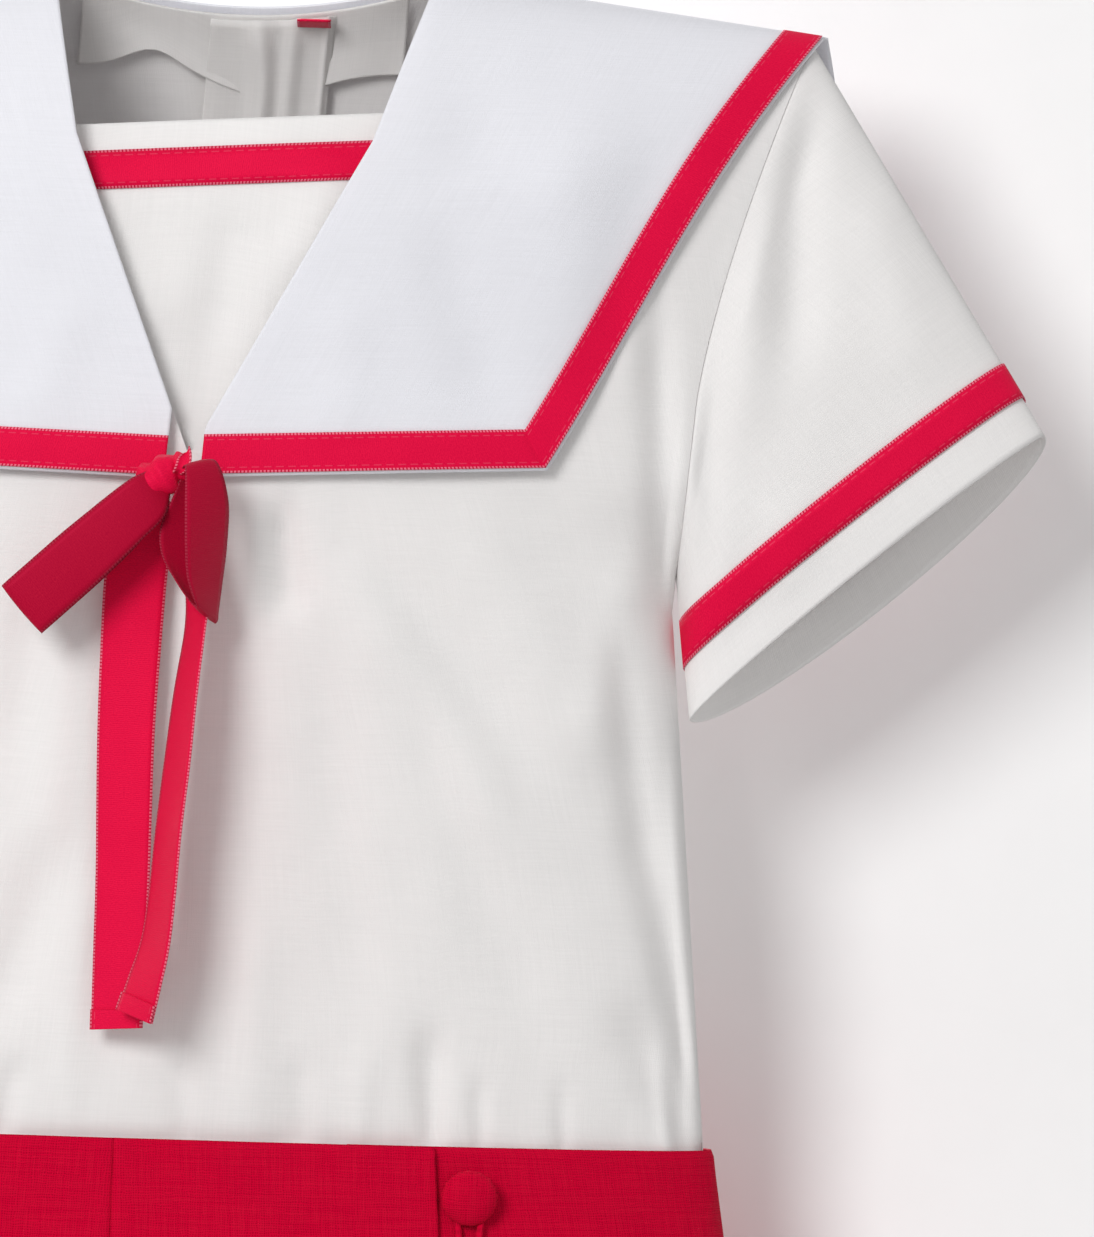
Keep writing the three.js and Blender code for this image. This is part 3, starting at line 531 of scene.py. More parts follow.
def cotton_poplin(name, colour, through=0.22):
    """White poplin: a fine plain weave, drawn at half a millimetre so that it shows. It gives a dry,
    matt white with faint upright and level slubs and a little fuzz at grazing angles."""
    material, tree = new_material(name)
    place = node(tree, "ShaderNodeTexCoord").outputs["UV"]
    upright = slubs(tree, place, 0.5, 22, True)
    level = slubs(tree, place, 0.5, 18, False)
    both = node(tree, "ShaderNodeMath", {0: upright, 1: level}, operation="ADD").outputs[0]
    cloud = node(tree, "ShaderNodeTexNoise", {"Vector": place, "Scale": 0.03, "Detail": 2.0}).outputs[0]
    woven = node(
        tree, "ShaderNodeMix",
        {
            0: node(
                tree, "ShaderNodeMapRange",
                {"Value": both, "From Min": 0.75, "From Max": 1.25, "To Min": 0, "To Max": 1},
            ).outputs[0],
            6: darker(colour, 0.955),
            7: rgba(colour),
        },
        data_type="RGBA",
    ).outputs[2]
    warm = node(
        tree, "ShaderNodeMix",
        {
            0: node(
                tree, "ShaderNodeMapRange",
                {"Value": cloud, "From Min": 0.35, "From Max": 0.65, "To Min": 0, "To Max": 0.35},
            ).outputs[0],
            6: woven,
            7: darker(colour, 0.975),
        },
        data_type="RGBA",
    ).outputs[2]
    weave = node(
        tree, "ShaderNodeMath",
        {0: threads(tree, place, 0.5, "X", 1.0), 1: threads(tree, place, 0.5, "Y", 1.0)},
        operation="ADD",
    ).outputs[0]
    height = node(
        tree, "ShaderNodeMath",
        {
            0: node(tree, "ShaderNodeMath", {0: both, 1: 1.4}, operation="MULTIPLY").outputs[0],
            1: node(tree, "ShaderNodeMath", {0: weave, 1: 0.35}, operation="MULTIPLY").outputs[0],
        },
        operation="ADD",
    ).outputs[0]
    rough = node(
        tree, "ShaderNodeMapRange",
        {"Value": cloud, "From Min": 0.3, "From Max": 0.7, "To Min": 0.78, "To Max": 0.9},
    ).outputs[0]
    surface(tree, warm, rough, height, 0.35, 0.0001, through, Specular_IOR_Level=0.25, Sheen_Weight=0.08,
            Sheen_Roughness=0.5)
    return material


def linen_weave(name, colour, spacing):
    """Red plain-woven linen: thick uneven threads with darker gaps between them, matt and a little
    fuzzy, so that the cloth looks heavier than the cotton."""
    material, tree = new_material(name)
    place = node(tree, "ShaderNodeTexCoord").outputs["UV"]
    weft = threads(tree, place, spacing, "Y", 2.5)
    warp = threads(tree, place, spacing, "X", 2.5)
    weave = node(
        tree, "ShaderNodeMath",
        {0: weft, 1: node(tree, "ShaderNodeMath", {0: warp, 1: 0.85}, operation="MULTIPLY").outputs[0]},
        operation="MAXIMUM",
    ).outputs[0]
    upright = slubs(tree, place, 0.7, 14, True)
    level = slubs(tree, place, 0.7, 20, False)
    slub = node(tree, "ShaderNodeMath", {0: upright, 1: level}, operation="ADD").outputs[0]
    gaps = node(
        tree, "ShaderNodeMix",
        {
            0: node(
                tree, "ShaderNodeMapRange",
                {"Value": weave, "From Min": 0.1, "From Max": 0.8, "To Min": 0, "To Max": 1},
            ).outputs[0],
            6: darker(colour, 0.62),
            7: rgba(colour),
        },
        data_type="RGBA",
    ).outputs[2]
    light = (min(1, colour[0] * 1.14), colour[1] * 1.6 + 0.006, colour[2] * 1.3, 1)
    tinted = node(
        tree, "ShaderNodeMix",
        {
            0: node(
                tree, "ShaderNodeMapRange",
                {"Value": slub, "From Min": 0.85, "From Max": 1.3, "To Min": 0, "To Max": 0.4},
            ).outputs[0],
            6: gaps,
            7: light,
        },
        data_type="RGBA",
    ).outputs[2]
    height = node(
        tree, "ShaderNodeMath",
        {0: weave, 1: node(tree, "ShaderNodeMath", {0: slub, 1: 1.5}, operation="MULTIPLY").outputs[0]},
        operation="ADD",
    ).outputs[0]
    rough = node(
        tree, "ShaderNodeMapRange",
        {"Value": slub, "From Min": 0.8, "From Max": 1.2, "To Min": 0.92, "To Max": 0.78},
    ).outputs[0]
    surface(tree, tinted, rough, height, 0.6, 0.00022, Specular_IOR_Level=0.16, Sheen_Weight=0.06,
            Sheen_Roughness=0.45, Sheen_Tint=(1, 0.12, 0.2, 1), Specular_Tint=(1, 0.15, 0.25, 1))
    return material


def satin_ribbon(name, colour, stitched, picot=0.85):
    """Woven polyester satin ribbon: fine ribs across it, a soft gleam, paler picot knots along both
    selvedges, and on the trim a row of running stitches just inside them."""
    material, tree = new_material(name)
    place = node(tree, "ShaderNodeTexCoord").outputs["UV"]
    parts = node(tree, "ShaderNodeSeparateXYZ", {0: place})
    edge, along = parts.outputs[0], parts.outputs[1]
    grain = node(tree, "ShaderNodeTexNoise", {"Vector": place, "Scale": 2.6, "Detail": 3.0,
                                              "Roughness": 0.6}).outputs[0]
    ribs = threads(tree, place, 0.5, "Y", 1.5)
    cloud = node(tree, "ShaderNodeTexNoise", {"Vector": place, "Scale": 0.09, "Detail": 1.0}).outputs[0]
    base = node(
        tree, "ShaderNodeMix",
        {
            0: node(
                tree, "ShaderNodeMapRange",
                {"Value": grain, "From Min": 0.35, "From Max": 0.68, "To Min": 0, "To Max": 1},
            ).outputs[0],
            6: darker(colour, 0.86),
            7: (min(1, colour[0] * 1.12), colour[1] + 0.006, colour[2] * 1.2, 1),
        },
        data_type="RGBA",
    ).outputs[2]
    base = node(
        tree, "ShaderNodeMix",
        {
            0: node(
                tree, "ShaderNodeMapRange",
                {"Value": ribs, "From Min": 0, "From Max": 1, "To Min": 0.22, "To Max": 0},
            ).outputs[0],
            6: base,
            7: darker(colour, 0.66),
        },
        data_type="RGBA",
    ).outputs[2]
    base = node(
        tree, "ShaderNodeMix",
        {
            0: node(
                tree, "ShaderNodeMapRange",
                {"Value": cloud, "From Min": 0.3, "From Max": 0.7, "To Min": 0, "To Max": 0.3},
            ).outputs[0],
            6: base,
            7: darker(colour, 0.85),
        },
        data_type="RGBA",
    ).outputs[2]
    # Picot knots on the selvedge, drawn 0.9 mm apart where the real ones are 0.65 mm, so that they show.
    beat = node(tree, "ShaderNodeMath", {0: along, 1: 0.45}, operation="PINGPONG").outputs[0]
    knot = node(
        tree, "ShaderNodeMath",
        {
            0: node(
                tree, "ShaderNodeMapRange",
                {"Value": beat, "From Min": 0.14, "From Max": 0.22, "To Min": 0, "To Max": 1},
            ).outputs[0],
            1: node(
                tree, "ShaderNodeMapRange",
                {"Value": edge, "From Min": 0.55, "From Max": 0.65, "To Min": 1, "To Max": 0},
            ).outputs[0],
        },
        operation="MULTIPLY",
    ).outputs[0]
    groove = node(
        tree, "ShaderNodeMath",
        {
            0: node(
                tree, "ShaderNodeMapRange",
                {"Value": edge, "From Min": 0.6, "From Max": 0.7, "To Min": 0, "To Max": 1},
            ).outputs[0],
            1: node(
                tree, "ShaderNodeMapRange",
                {"Value": edge, "From Min": 0.9, "From Max": 1.0, "To Min": 1, "To Max": 0},
            ).outputs[0],
        },
        operation="MULTIPLY",
    ).outputs[0]
    base = node(
        tree, "ShaderNodeMix",
        {
            0: node(
                tree, "ShaderNodeMath",
                {
                    0: node(
                        tree, "ShaderNodeMapRange",
                        {"Value": edge, "From Min": 0.5, "From Max": 0.75, "To Min": 1, "To Max": 0},
                    ).outputs[0],
                    1: 0.45,
                },
                operation="MULTIPLY",
            ).outputs[0],
            6: base,
            7: darker(colour, 0.45),
        },
        data_type="RGBA",
    ).outputs[2]
    base = node(
        tree, "ShaderNodeMix",
        {
            0: node(tree, "ShaderNodeMath", {0: knot, 1: picot}, operation="MULTIPLY").outputs[0],
            6: base,
            7: rgba(srgb("f27c92")),
        },
        data_type="RGBA",
    ).outputs[2]
    height = node(
        tree, "ShaderNodeMath",
        {
            0: node(tree, "ShaderNodeMath", {0: ribs, 1: 0.4}, operation="MULTIPLY").outputs[0],
            1: node(tree, "ShaderNodeMath", {0: grain, 1: 0.5}, operation="MULTIPLY").outputs[0],
        },
        operation="ADD",
    ).outputs[0]
    height = node(
        tree, "ShaderNodeMath",
        {0: height, 1: node(tree, "ShaderNodeMath", {0: knot, 1: 1.2}, operation="MULTIPLY").outputs[0]},
        operation="ADD",
    ).outputs[0]
    height = node(
        tree, "ShaderNodeMath",
        {0: height, 1: node(tree, "ShaderNodeMath", {0: groove, 1: 0.4}, operation="MULTIPLY").outputs[0]},
        operation="SUBTRACT",
    ).outputs[0]
    if stitched:
        dash = node(
            tree, "ShaderNodeMapRange",
            {
                "Value": node(tree, "ShaderNodeMath", {0: along, 1: 1.5}, operation="PINGPONG").outputs[0],
                "From Min": 0.5,
                "From Max": 0.6,
                "To Min": 0,
                "To Max": 1,
            },
        ).outputs[0]
        line = node(
            tree, "ShaderNodeMath",
            {
                0: node(
                    tree, "ShaderNodeMath",
                    {
                        0: node(
                            tree, "ShaderNodeMath",
                            {0: edge, 1: 1.45},
                            operation="SUBTRACT",
                        ).outputs[0],
                        1: 0.0,
                    },
                    operation="ABSOLUTE",
                ).outputs[0],
                1: 0.15,
            },
            operation="LESS_THAN",
        ).outputs[0]
        stitch = node(tree, "ShaderNodeMath", {0: dash, 1: line}, operation="MULTIPLY").outputs[0]
        base = node(
            tree, "ShaderNodeMix",
            {
                0: node(tree, "ShaderNodeMath", {0: stitch, 1: 0.3}, operation="MULTIPLY").outputs[0],
                6: base,
                7: rgba(srgb("ee5c78")),
            },
            data_type="RGBA",
        ).outputs[2]
        sunk = node(
            tree, "ShaderNodeMath",
            {0: line, 1: node(tree, "ShaderNodeMath", {0: 1.0, 1: dash}, operation="SUBTRACT").outputs[0]},
            operation="MULTIPLY",
        ).outputs[0]
        height = node(
            tree, "ShaderNodeMath",
            {0: node(tree, "ShaderNodeMath", {0: height, 1: stitch}, operation="ADD").outputs[0], 1: sunk},
            operation="SUBTRACT",
        ).outputs[0]
    rough = node(
        tree, "ShaderNodeMapRange",
        {"Value": grain, "From Min": 0.3, "From Max": 0.7, "To Min": 0.4, "To Max": 0.56},
    ).outputs[0]
    surface(tree, base, rough, height, 0.5, 0.00012, Specular_IOR_Level=0.42, Sheen_Weight=0.1,
            Sheen_Roughness=0.35, Sheen_Tint=(1, 0.1, 0.25, 1), Anisotropic=0.4,
            Specular_Tint=(1, 0.08, 0.2, 1))
    return material


def shell_button(name, colour):
    """Pearly polyester shirt button, moulded and polished: glossy, with faint swirls in its white."""
    material, tree = new_material(name)
    place = node(tree, "ShaderNodeTexCoord").outputs["Object"]
    swirl = node(tree, "ShaderNodeTexNoise", {"Vector": place, "Scale": 260.0, "Detail": 3.0,
                                              "Distortion": 1.2}).outputs[0]
    tint = node(
        tree, "ShaderNodeMix",
        {
            0: node(
                tree, "ShaderNodeMapRange",
                {"Value": swirl, "From Min": 0.35, "From Max": 0.65, "To Min": 0, "To Max": 1},
            ).outputs[0],
            6: darker(colour, 0.9),
            7: rgba(colour),
        },
        data_type="RGBA",
    ).outputs[2]
    rough = node(
        tree, "ShaderNodeMapRange",
        {"Value": swirl, "From Min": 0.3, "From Max": 0.7, "To Min": 0.22, "To Max": 0.34},
    ).outputs[0]
    surface(tree, tint, rough, swirl, 0.05, 0.0001, Coat_Weight=0.3, IOR=1.53)
    return material


def sewing_thread(name, colour):
    """Twisted sewing thread: fine slanting ridges and a soft gleam."""
    material, tree = new_material(name)
    place = node(tree, "ShaderNodeTexCoord").outputs["Object"]
    twist = node(tree, "ShaderNodeTexWave", {"Vector": place, "Scale": 900.0, "Distortion": 2.0},
                 wave_type="BANDS", bands_direction="DIAGONAL").outputs[1]
    tint = node(
        tree, "ShaderNodeMix",
        {0: twist, 6: darker(colour, 0.75), 7: rgba(colour)},
        data_type="RGBA",
    ).outputs[2]
    surface(
        tree,
        tint,
        node(
            tree, "ShaderNodeMapRange",
            {"Value": twist, "From Min": 0, "From Max": 1, "To Min": 0.75, "To Max": 0.6},
        ).outputs[0],
        twist,
        0.4,
        0.0001,
        Specular_IOR_Level=0.3,
    )
    return material


def studio_paper(name, colour):
    """Matt studio paper, seen from its front only: other rays and other views pass through it."""
    material, tree = new_material(name)
    place = node(tree, "ShaderNodeTexCoord").outputs["Object"]
    tooth = node(tree, "ShaderNodeTexNoise", {"Vector": place, "Scale": 60.0, "Detail": 3.0}).outputs[0]
    tint = node(
        tree, "ShaderNodeMix",
        {
            0: node(
                tree, "ShaderNodeMapRange",
                {"Value": tooth, "From Min": 0.3, "From Max": 0.7, "To Min": 0, "To Max": 1},
            ).outputs[0],
            6: darker(colour, 0.99),
            7: rgba(colour),
        },
        data_type="RGBA",
    ).outputs[2]
    paper = node(tree, "ShaderNodeBsdfDiffuse", {"Color": tint, "Roughness": 0.4})
    clear = node(tree, "ShaderNodeBsdfTransparent")
    seen = node(tree, "ShaderNodeLightPath").outputs["Is Camera Ray"]
    facing = node(
        tree, "ShaderNodeMath",
        {0: 1.0, 1: node(tree, "ShaderNodeNewGeometry").outputs["Backfacing"]},
        operation="SUBTRACT",
    ).outputs[0]
    shown = node(
        tree, "ShaderNodeMixShader",
        {
            0: node(tree, "ShaderNodeMath", {0: seen, 1: facing}, operation="MULTIPLY").outputs[0],
            1: clear.outputs[0],
            2: paper.outputs[0],
        },
    )
    node(tree, "ShaderNodeOutputMaterial", {"Surface": shown.outputs[0]})
    return material


LOOP_SHADE_SHARE = 0.56                    # painted shade: the bow loops' ribbon colour is darkened to this share
MATERIALS = {}


def finish_of(key):
    """The material for key, made once."""
    if key not in MATERIALS:
        s = settings()
        # The bow loops' ribbon: its colour darkened as painted shade, with fewer picot knots.
        shaded_ribbon_colour = tuple(c * LOOP_SHADE_SHARE for c in s.ribbon_colour)
        makers = {
            "cotton": lambda: cotton_poplin("White cotton poplin", tuple(s.cotton_colour)),
            "thin": lambda: cotton_poplin("White cotton poplin, one layer", tuple(s.cotton_colour), 0.42),
            "collar": lambda: cotton_poplin("Cool white collar poplin", tuple(s.collar_colour)),
            "linen": lambda: linen_weave("Red linen", tuple(s.linen_colour), s.thread_spacing / MM),
            "trim": lambda: satin_ribbon("Stitched satin trim", tuple(s.ribbon_colour), True),
            "bow": lambda: satin_ribbon("Satin bow ribbon", tuple(s.ribbon_colour), False),
            "bow_painted_shade": lambda: satin_ribbon("Satin bow ribbon, painted shade", shaded_ribbon_colour, False, 0.12),
            "button": lambda: shell_button("Pearly shirt button", tuple(s.button_colour)),
            "thread": lambda: sewing_thread("White sewing thread", srgb("f2f0ee")),
            "paper": lambda: studio_paper("Studio paper", tuple(s.backdrop_colour)),
        }
        MATERIALS[key] = makers[key]()
    return MATERIALS[key]


# ---- bodice ----
def bodice_panel(side, angles, neck_z, rows, relief):
    """A bodice panel whose columns lie at the given angles round the body."""
    share = np.sin(angles)[None, :]
    top = np.full_like(share, NECK_Z)
    for _ in range(12):
        x = np.abs(share) * half_width(top)
        top = np.where(x < NECK_HALF, neck_z(x), shoulder(x))
    v = np.linspace(0, 1, rows)[:, None]
    z = lerp(-TUCK, 0, np.clip(v * 12, 0, 1)) + bunched(np.clip((v - 1 / 12) * 12 / 11, 0, 1)) * top
    x = share * half_width(z)
    near_top = smooth(0, 26, top - z)
    rim = 1 - smooth(0.965, 1.0, np.abs(share)) * 0.9
    lift = relief(x, z) * near_top * rim * smooth(-TUCK, 2, z) - 0.6 * smooth(3, 0, z)
    points = on_body(x, z, lift, side)
    return points[:, ::-1] if side > 0 else points


def front_angles(count):
    """Columns are closer near the sides, where the cloth turns."""
    return np.linspace(-math.pi / 2, math.pi / 2, count)


class UNIFORM_OT_bodice(bpy.types.Operator):
    """Build the bodice: its front and the two back panels that button over each other."""

    bl_idname = "uniform.bodice"
    bl_label = "Bodice"

    def execute(self, context):
        thickness = settings().cotton_thickness
        half = math.pi / 2
        lap = math.asin(PLACKET_EDGE / WAIST_HALF)

        def under_relief(x, z):
            """The left back sinks where the placket lies over it."""
            return back_relief(x, z) - 1.0 * smooth(PLACKET_EDGE - 14, PLACKET_EDGE, x)

        panels = (
            ("bodice_front_cloth", -1, front_angles(280), v_neck_z, front_relief, "bodice_front"),
            ("bodice_back_left_cloth", 1, np.linspace(-half, lap + 0.05, 120), back_neck_z,
             under_relief, "bodice_back_left"),
            ("bodice_back_right_cloth", 1, np.linspace(lap, half, 150), back_neck_z, back_relief,
             "bodice_back_right"),
        )
        for name, side, angles, neck, relief, cad in panels:
            points = bodice_panel(side, angles, neck, 200, relief)
            finish = "thin" if side > 0 else "cotton"
            hem_width = lengths(points)[0][0, -1]
            cloth_sheet(name, points, finish, [cad], thickness, "bodice", width=hem_width)
        return {"FINISHED"}


class UNIFORM_OT_facings(bpy.types.Operator):
    """Build the back neck facing and the button placket's inner edge, seen inside the neck."""

    bl_idname = "uniform.facings"
    bl_label = "Facings"

    def execute(self, context):
        thickness = settings().cotton_thickness
        u = np.linspace(-1, 1, 110)[None, :]
        v = np.linspace(0, 1, 40)[:, None]
        x = u * FACING_HALF
        dip = 274 - 7 * np.exp(-(((x - 8) / 17) ** 2)) + 4.5 * np.exp(-(((x + 23) / 9) ** 2))
        z = lerp(dip + 0 * v, back_neck_z(x) - 0.6, v)
        free = (1 - v) ** 1.5
        curl = -3.4 * free * (0.6 + 0.5 * bumps(x, z * 0, 15, 31)) + 0.5 * bumps(x, z, 9, 32) * (1 - v)
        points = on_body(x, z, FACING_LIFT + curl, 1)
        cloth_sheet("back_neck_facing_cloth", points, "thin", ["back_neck_facing"], thickness,
                    "bodice")

        u = np.linspace(0, 1, 70)[None, :]
        v = np.linspace(0, 1, 160)[:, None]
        x = lerp(PLACKET_INNER[0], PLACKET_INNER[1], u)
        z = lerp(-TUCK, back_neck_z(x) - 2.0, v)
        loose = smooth(180, 262, z)
        roll = -3.2 * np.exp(-(((x - 3.5 - 3 * np.sin(z / 13)) / 3.2) ** 2))
        roll = roll - 1.8 * np.exp(-(((x - 13) / 2.4) ** 2))
        roll = roll * loose * smooth(292, 278, z) + 0.4 * bumps(x, z * 0.4, 8, 33)
        seam = 1.0 * np.exp(-(((x - 21.5) / 0.7) ** 2)) - 0.9 * smooth(21.8, 23.4, x)
        points = on_body(x, z, PLACKET_LIFT + roll - seam * smooth(0, 40, z), 1)
        cloth_sheet("back_placket_cloth", points, "thin", ["back_placket_facing"], thickness,
                    "bodice")
        return {"FINISHED"}


class UNIFORM_OT_dickey(bpy.types.Operator):
    """Build the dickey that fills the V of the neck, and its ribbon."""

    bl_idname = "uniform.dickey"
    bl_label = "Dickey"

    def execute(self, context):
        u = np.linspace(-1, 1, 90)[None, :]

        def strip(low, high, rows, lift):
            v = np.linspace(0, 1, rows)[:, None]
            level = lerp(low, high, v)
            x = (v_neck_x(level) + DICKEY_MARGIN) * u
            tilted = level + DICKEY_TILT * x * smooth(DICKEY_BASE_Z, DICKEY_Z - 20, level)
            wave = 0.7 * bumps(x, tilted * 1.6, 22, 41) * smooth(1.0, 0.7, np.abs(u))
            wave = wave + fold(x, tilted, 30, 246, 12, 205, 7, 0.8) + fold(x, tilted, 4, 236, 1, 180, 6, -1.1)
            return on_body(x, tilted, DICKEY_LIFT + lift + wave * settings().crease_share, -1)

        points = strip(DICKEY_BASE_Z, DICKEY_Z, 90, 0)
        doubled = settings().cotton_thickness * 2
        cloth_sheet("dickey_cloth", points, "cotton", ["dickey"], doubled, "bodice")
        top = DICKEY_Z - DICKEY_BAND
        points = strip(top - TRIM_WIDTH, top, 5, TRIM_LIFT).transpose(1, 0, 2)
        ribbon("dickey_trim", points, finish_of("trim"), ["dickey_ribbon"], "bodice", TRIM_WIDTH,
               rests=["dickey_cloth"], flip=True)
        return {"FINISHED"}


# ---- collar ----
def front_corner(off, sign):
    """Corner of the collar's lower and outer edges, off mm inside them."""
    inner_x, inner_z, corner_z = FLAP_CORNERS[sign]
    rise = np.array([COLLAR_SHOULDER_X - COLLAR_CORNER_X, float(shoulder(COLLAR_SHOULDER_X)) - corner_z])
    rise = rise / np.linalg.norm(rise)
    slope = (corner_z - inner_z) / (COLLAR_CORNER_X - inner_x)
    z = corner_z + off - slope * off
    x = COLLAR_CORNER_X + (z - corner_z - rise[0] * off) * rise[0] / rise[1] - rise[1] * off
    return x, z


def rolled(t):
    """How far the collar's outer edge curves in on its way up to the shoulder."""
    return COLLAR_ROLL * np.sin(math.pi * t**1.6)


def cape_half(t):
    return CAPE_HALF + CAPE_BULGE * np.sin(math.pi * t * t)


def collar_bend(front):
    """Ends of the bend given for a collar piece, whose top stays sewn in the neck."""
    top, low = FLAP_BEND if front else CAPE_BEND
    return (0, 0, top * MM), (0, 0, low * MM)


class UNIFORM_OT_collar(bpy.types.Operator):
    """Build the sailor collar: two front flaps and the square back."""

    bl_idname = "uniform.collar"
    bl_label = "Collar"

    def execute(self, context):
        thickness = settings().cotton_thickness * COLLAR_LAYERS
        u = np.linspace(0, 1, 110)[None, :]
        t = bunched(np.linspace(0, 1, 130))[:, None]
        for word, sign in SIDES:
            inner_x, inner_z, corner_z = FLAP_CORNERS[sign]
            z0 = lerp(inner_z, NECK_Z + COLLAR_LIFT, t)
            x0 = np.maximum(inner_x, v_neck_x(z0))
            x1 = lerp(COLLAR_CORNER_X, COLLAR_SHOULDER_X, t) - rolled(t)
            z1 = lerp(corner_z, float(shoulder(COLLAR_SHOULDER_X)) + COLLAR_LIFT, t)
            x, z = lerp(x0, x1, u), lerp(z0, z1, u)
            points = on_body(sign * x, z, collar_relief(sign * x, z, -1), -1)
            points = points if sign > 0 else points[:, ::-1]
            bend = ("bodice", f"collar_{word}", *collar_bend(True))
            cloth_sheet(f"collar_front_{word}_cloth", points, "collar",
                        [f"collar_front_{word}"], thickness, bend)
        u = np.linspace(-1, 1, 260)[None, :]
        x = u * cape_half(t)
        top = np.where(np.abs(x) < NECK_HALF, back_neck_z(x), shoulder(x)) + COLLAR_LIFT
        z = lerp(COLLAR_Z, top, t)
        points = on_body(x, z, collar_relief(x, z, 1), 1)[:, ::-1]
        bend = ("bodice", "collar_back", *collar_bend(False))
        cloth_sheet("collar_back_cloth", points, "collar", ["collar_back"], thickness, bend)
        return {"FINISHED"}


def collar_strip(x, z, sign, side):
    """The trim's points on the collar; the back's stands prouder, as it turns round the body's side."""
    rise = TRIM_LIFT if side < 0 else TRIM_LIFT + 0.4
    return on_body(sign * x, z, collar_relief(sign * x, z, side) + rise, side)


class UNIFORM_OT_collar_trim(bpy.types.Operator):
    """Sew the satin trim round the collar's edges, mitred at its corners."""

    bl_idname = "uniform.collar_trim"
    bl_label = "Collar trim"

    def execute(self, context):
        off = (TRIM_MARGIN + np.linspace(0, 1, 21) * TRIM_WIDTH)[None, :]
        for word, sign in SIDES:
            cx, cz = front_corner(off, sign)
            s = np.linspace(0, 1, 110)[:, None]
            x = lerp(FLAP_CORNERS[sign][0], cx, s)
            z = lerp(FLAP_CORNERS[sign][1] + off, cz, s)
            t = bunched(np.linspace(0, 1, 120))[1:, None]
            end = COLLAR_SHOULDER_X - off
            xs = np.concatenate([x, lerp(cx, end, t) - rolled(t)])
            zs = np.concatenate([z, lerp(cz, shoulder(end) + COLLAR_LIFT, t)])
            points = collar_strip(xs, zs, sign, -1)
            # The mitre is a folded step: the side ribbon lies on top of the bottom one.
            step = np.zeros(len(points))
            step[110:] = 0.5
            step[108:110] = -0.25
            points[:, :, 1] -= step[:, None] * MM
            ribbon(f"collar_trim_{word}", points, finish_of("trim"), [f"collar_ribbon_{word}"],
                   ("bodice", f"collar_{word}", *collar_bend(True)), TRIM_WIDTH,
                   rests=[f"collar_front_{word}_cloth"], flip=sign < 0)
        leg = np.abs(np.linspace(-2, 2, 401))[:, None]
        t = bunched(np.clip(leg - 1, 0, 1))
        low = COLLAR_Z + off
        x = np.where(leg <= 1, leg * (CAPE_HALF - off), cape_half(t) - off)
        z = np.where(leg <= 1, low, lerp(low, shoulder(x) + COLLAR_LIFT, t))
        sign = np.sign(np.linspace(-2, 2, 401))[:, None]
        points = collar_strip(x, z, sign, 1)
        ribbon("collar_trim_back", points, finish_of("trim"), ["collar_ribbon_back"],
               ("bodice", "collar_back", *collar_bend(False)), TRIM_WIDTH,
               rests=["collar_back_cloth"], flip=True)
        return {"FINISHED"}


# ---- sleeves ----
def on_sleeve(sign, turn, share, lift):
    """Point round the sleeve by turn, at a share of the way from the hem to the armhole."""
    line = np.array(SLEEVE_LOW) - np.array(SLEEVE_TOP)
    size = np.linalg.norm(line)
    q = 0.5 - (0.5 + lift / size) * np.cos(turn)
    swing = np.sin(turn)
    bow = np.where(swing > 0, -HEM_RISE * swing, -HEM_DROP * swing)
    hem_x = SLEEVE_TOP[0] + line[0] * q - line[1] / size * bow
    hem_z = SLEEVE_TOP[1] + line[1] * q + line[0] / size * bow
    top = float(shoulder(half_width(np.array(NECK_Z - 12.0))))
    arm_z = lerp(top, UNDERARM_Z, np.clip(q, 0, 1))
    arm_x = half_width(arm_z)
    arm_y = depth(arm_x - 0.01, arm_z, 0)
    x, z = lerp(hem_x, arm_x, share), lerp(hem_z, arm_z, share)
    body = lerp(HEM_DEPTH * np.abs(swing), arm_y, smooth(0, 1, share))
    puff = 1.6 * np.abs(swing) * np.sin(math.pi * share) ** 0.8
    relief = folds(x, z, SLEEVE_FOLDS) + 0.6 * bumps(x * sign, z, 24, 51) + 0.15 * bumps(x, z, 9, 52)
    relief = relief * smooth(1.0, 0.86, share) * smooth(0.02, 0.2, share) * smooth(0, 0.3, np.abs(swing))
    sunk = 0.3 * smooth(0.975, 1.0, share)
    y = -np.sign(swing) * np.clip(body + puff + relief + lift - sunk, 0, None)
    return placed(sign * x, y, z)


def hem_share(sign, turn, off):
    """Share of the way up that lies off mm from the hem."""
    hem, arm = on_sleeve(sign, turn, 0 * turn, 0), on_sleeve(sign, turn, 0 * turn + 1, 0)
    line = np.array([sign * (SLEEVE_LOW[0] - SLEEVE_TOP[0]), 0, SLEEVE_LOW[1] - SLEEVE_TOP[1]])
    line = line / np.linalg.norm(line)
    way = arm - hem
    square = way - (way @ line)[..., None] * line
    return off * MM / np.linalg.norm(square, axis=-1)


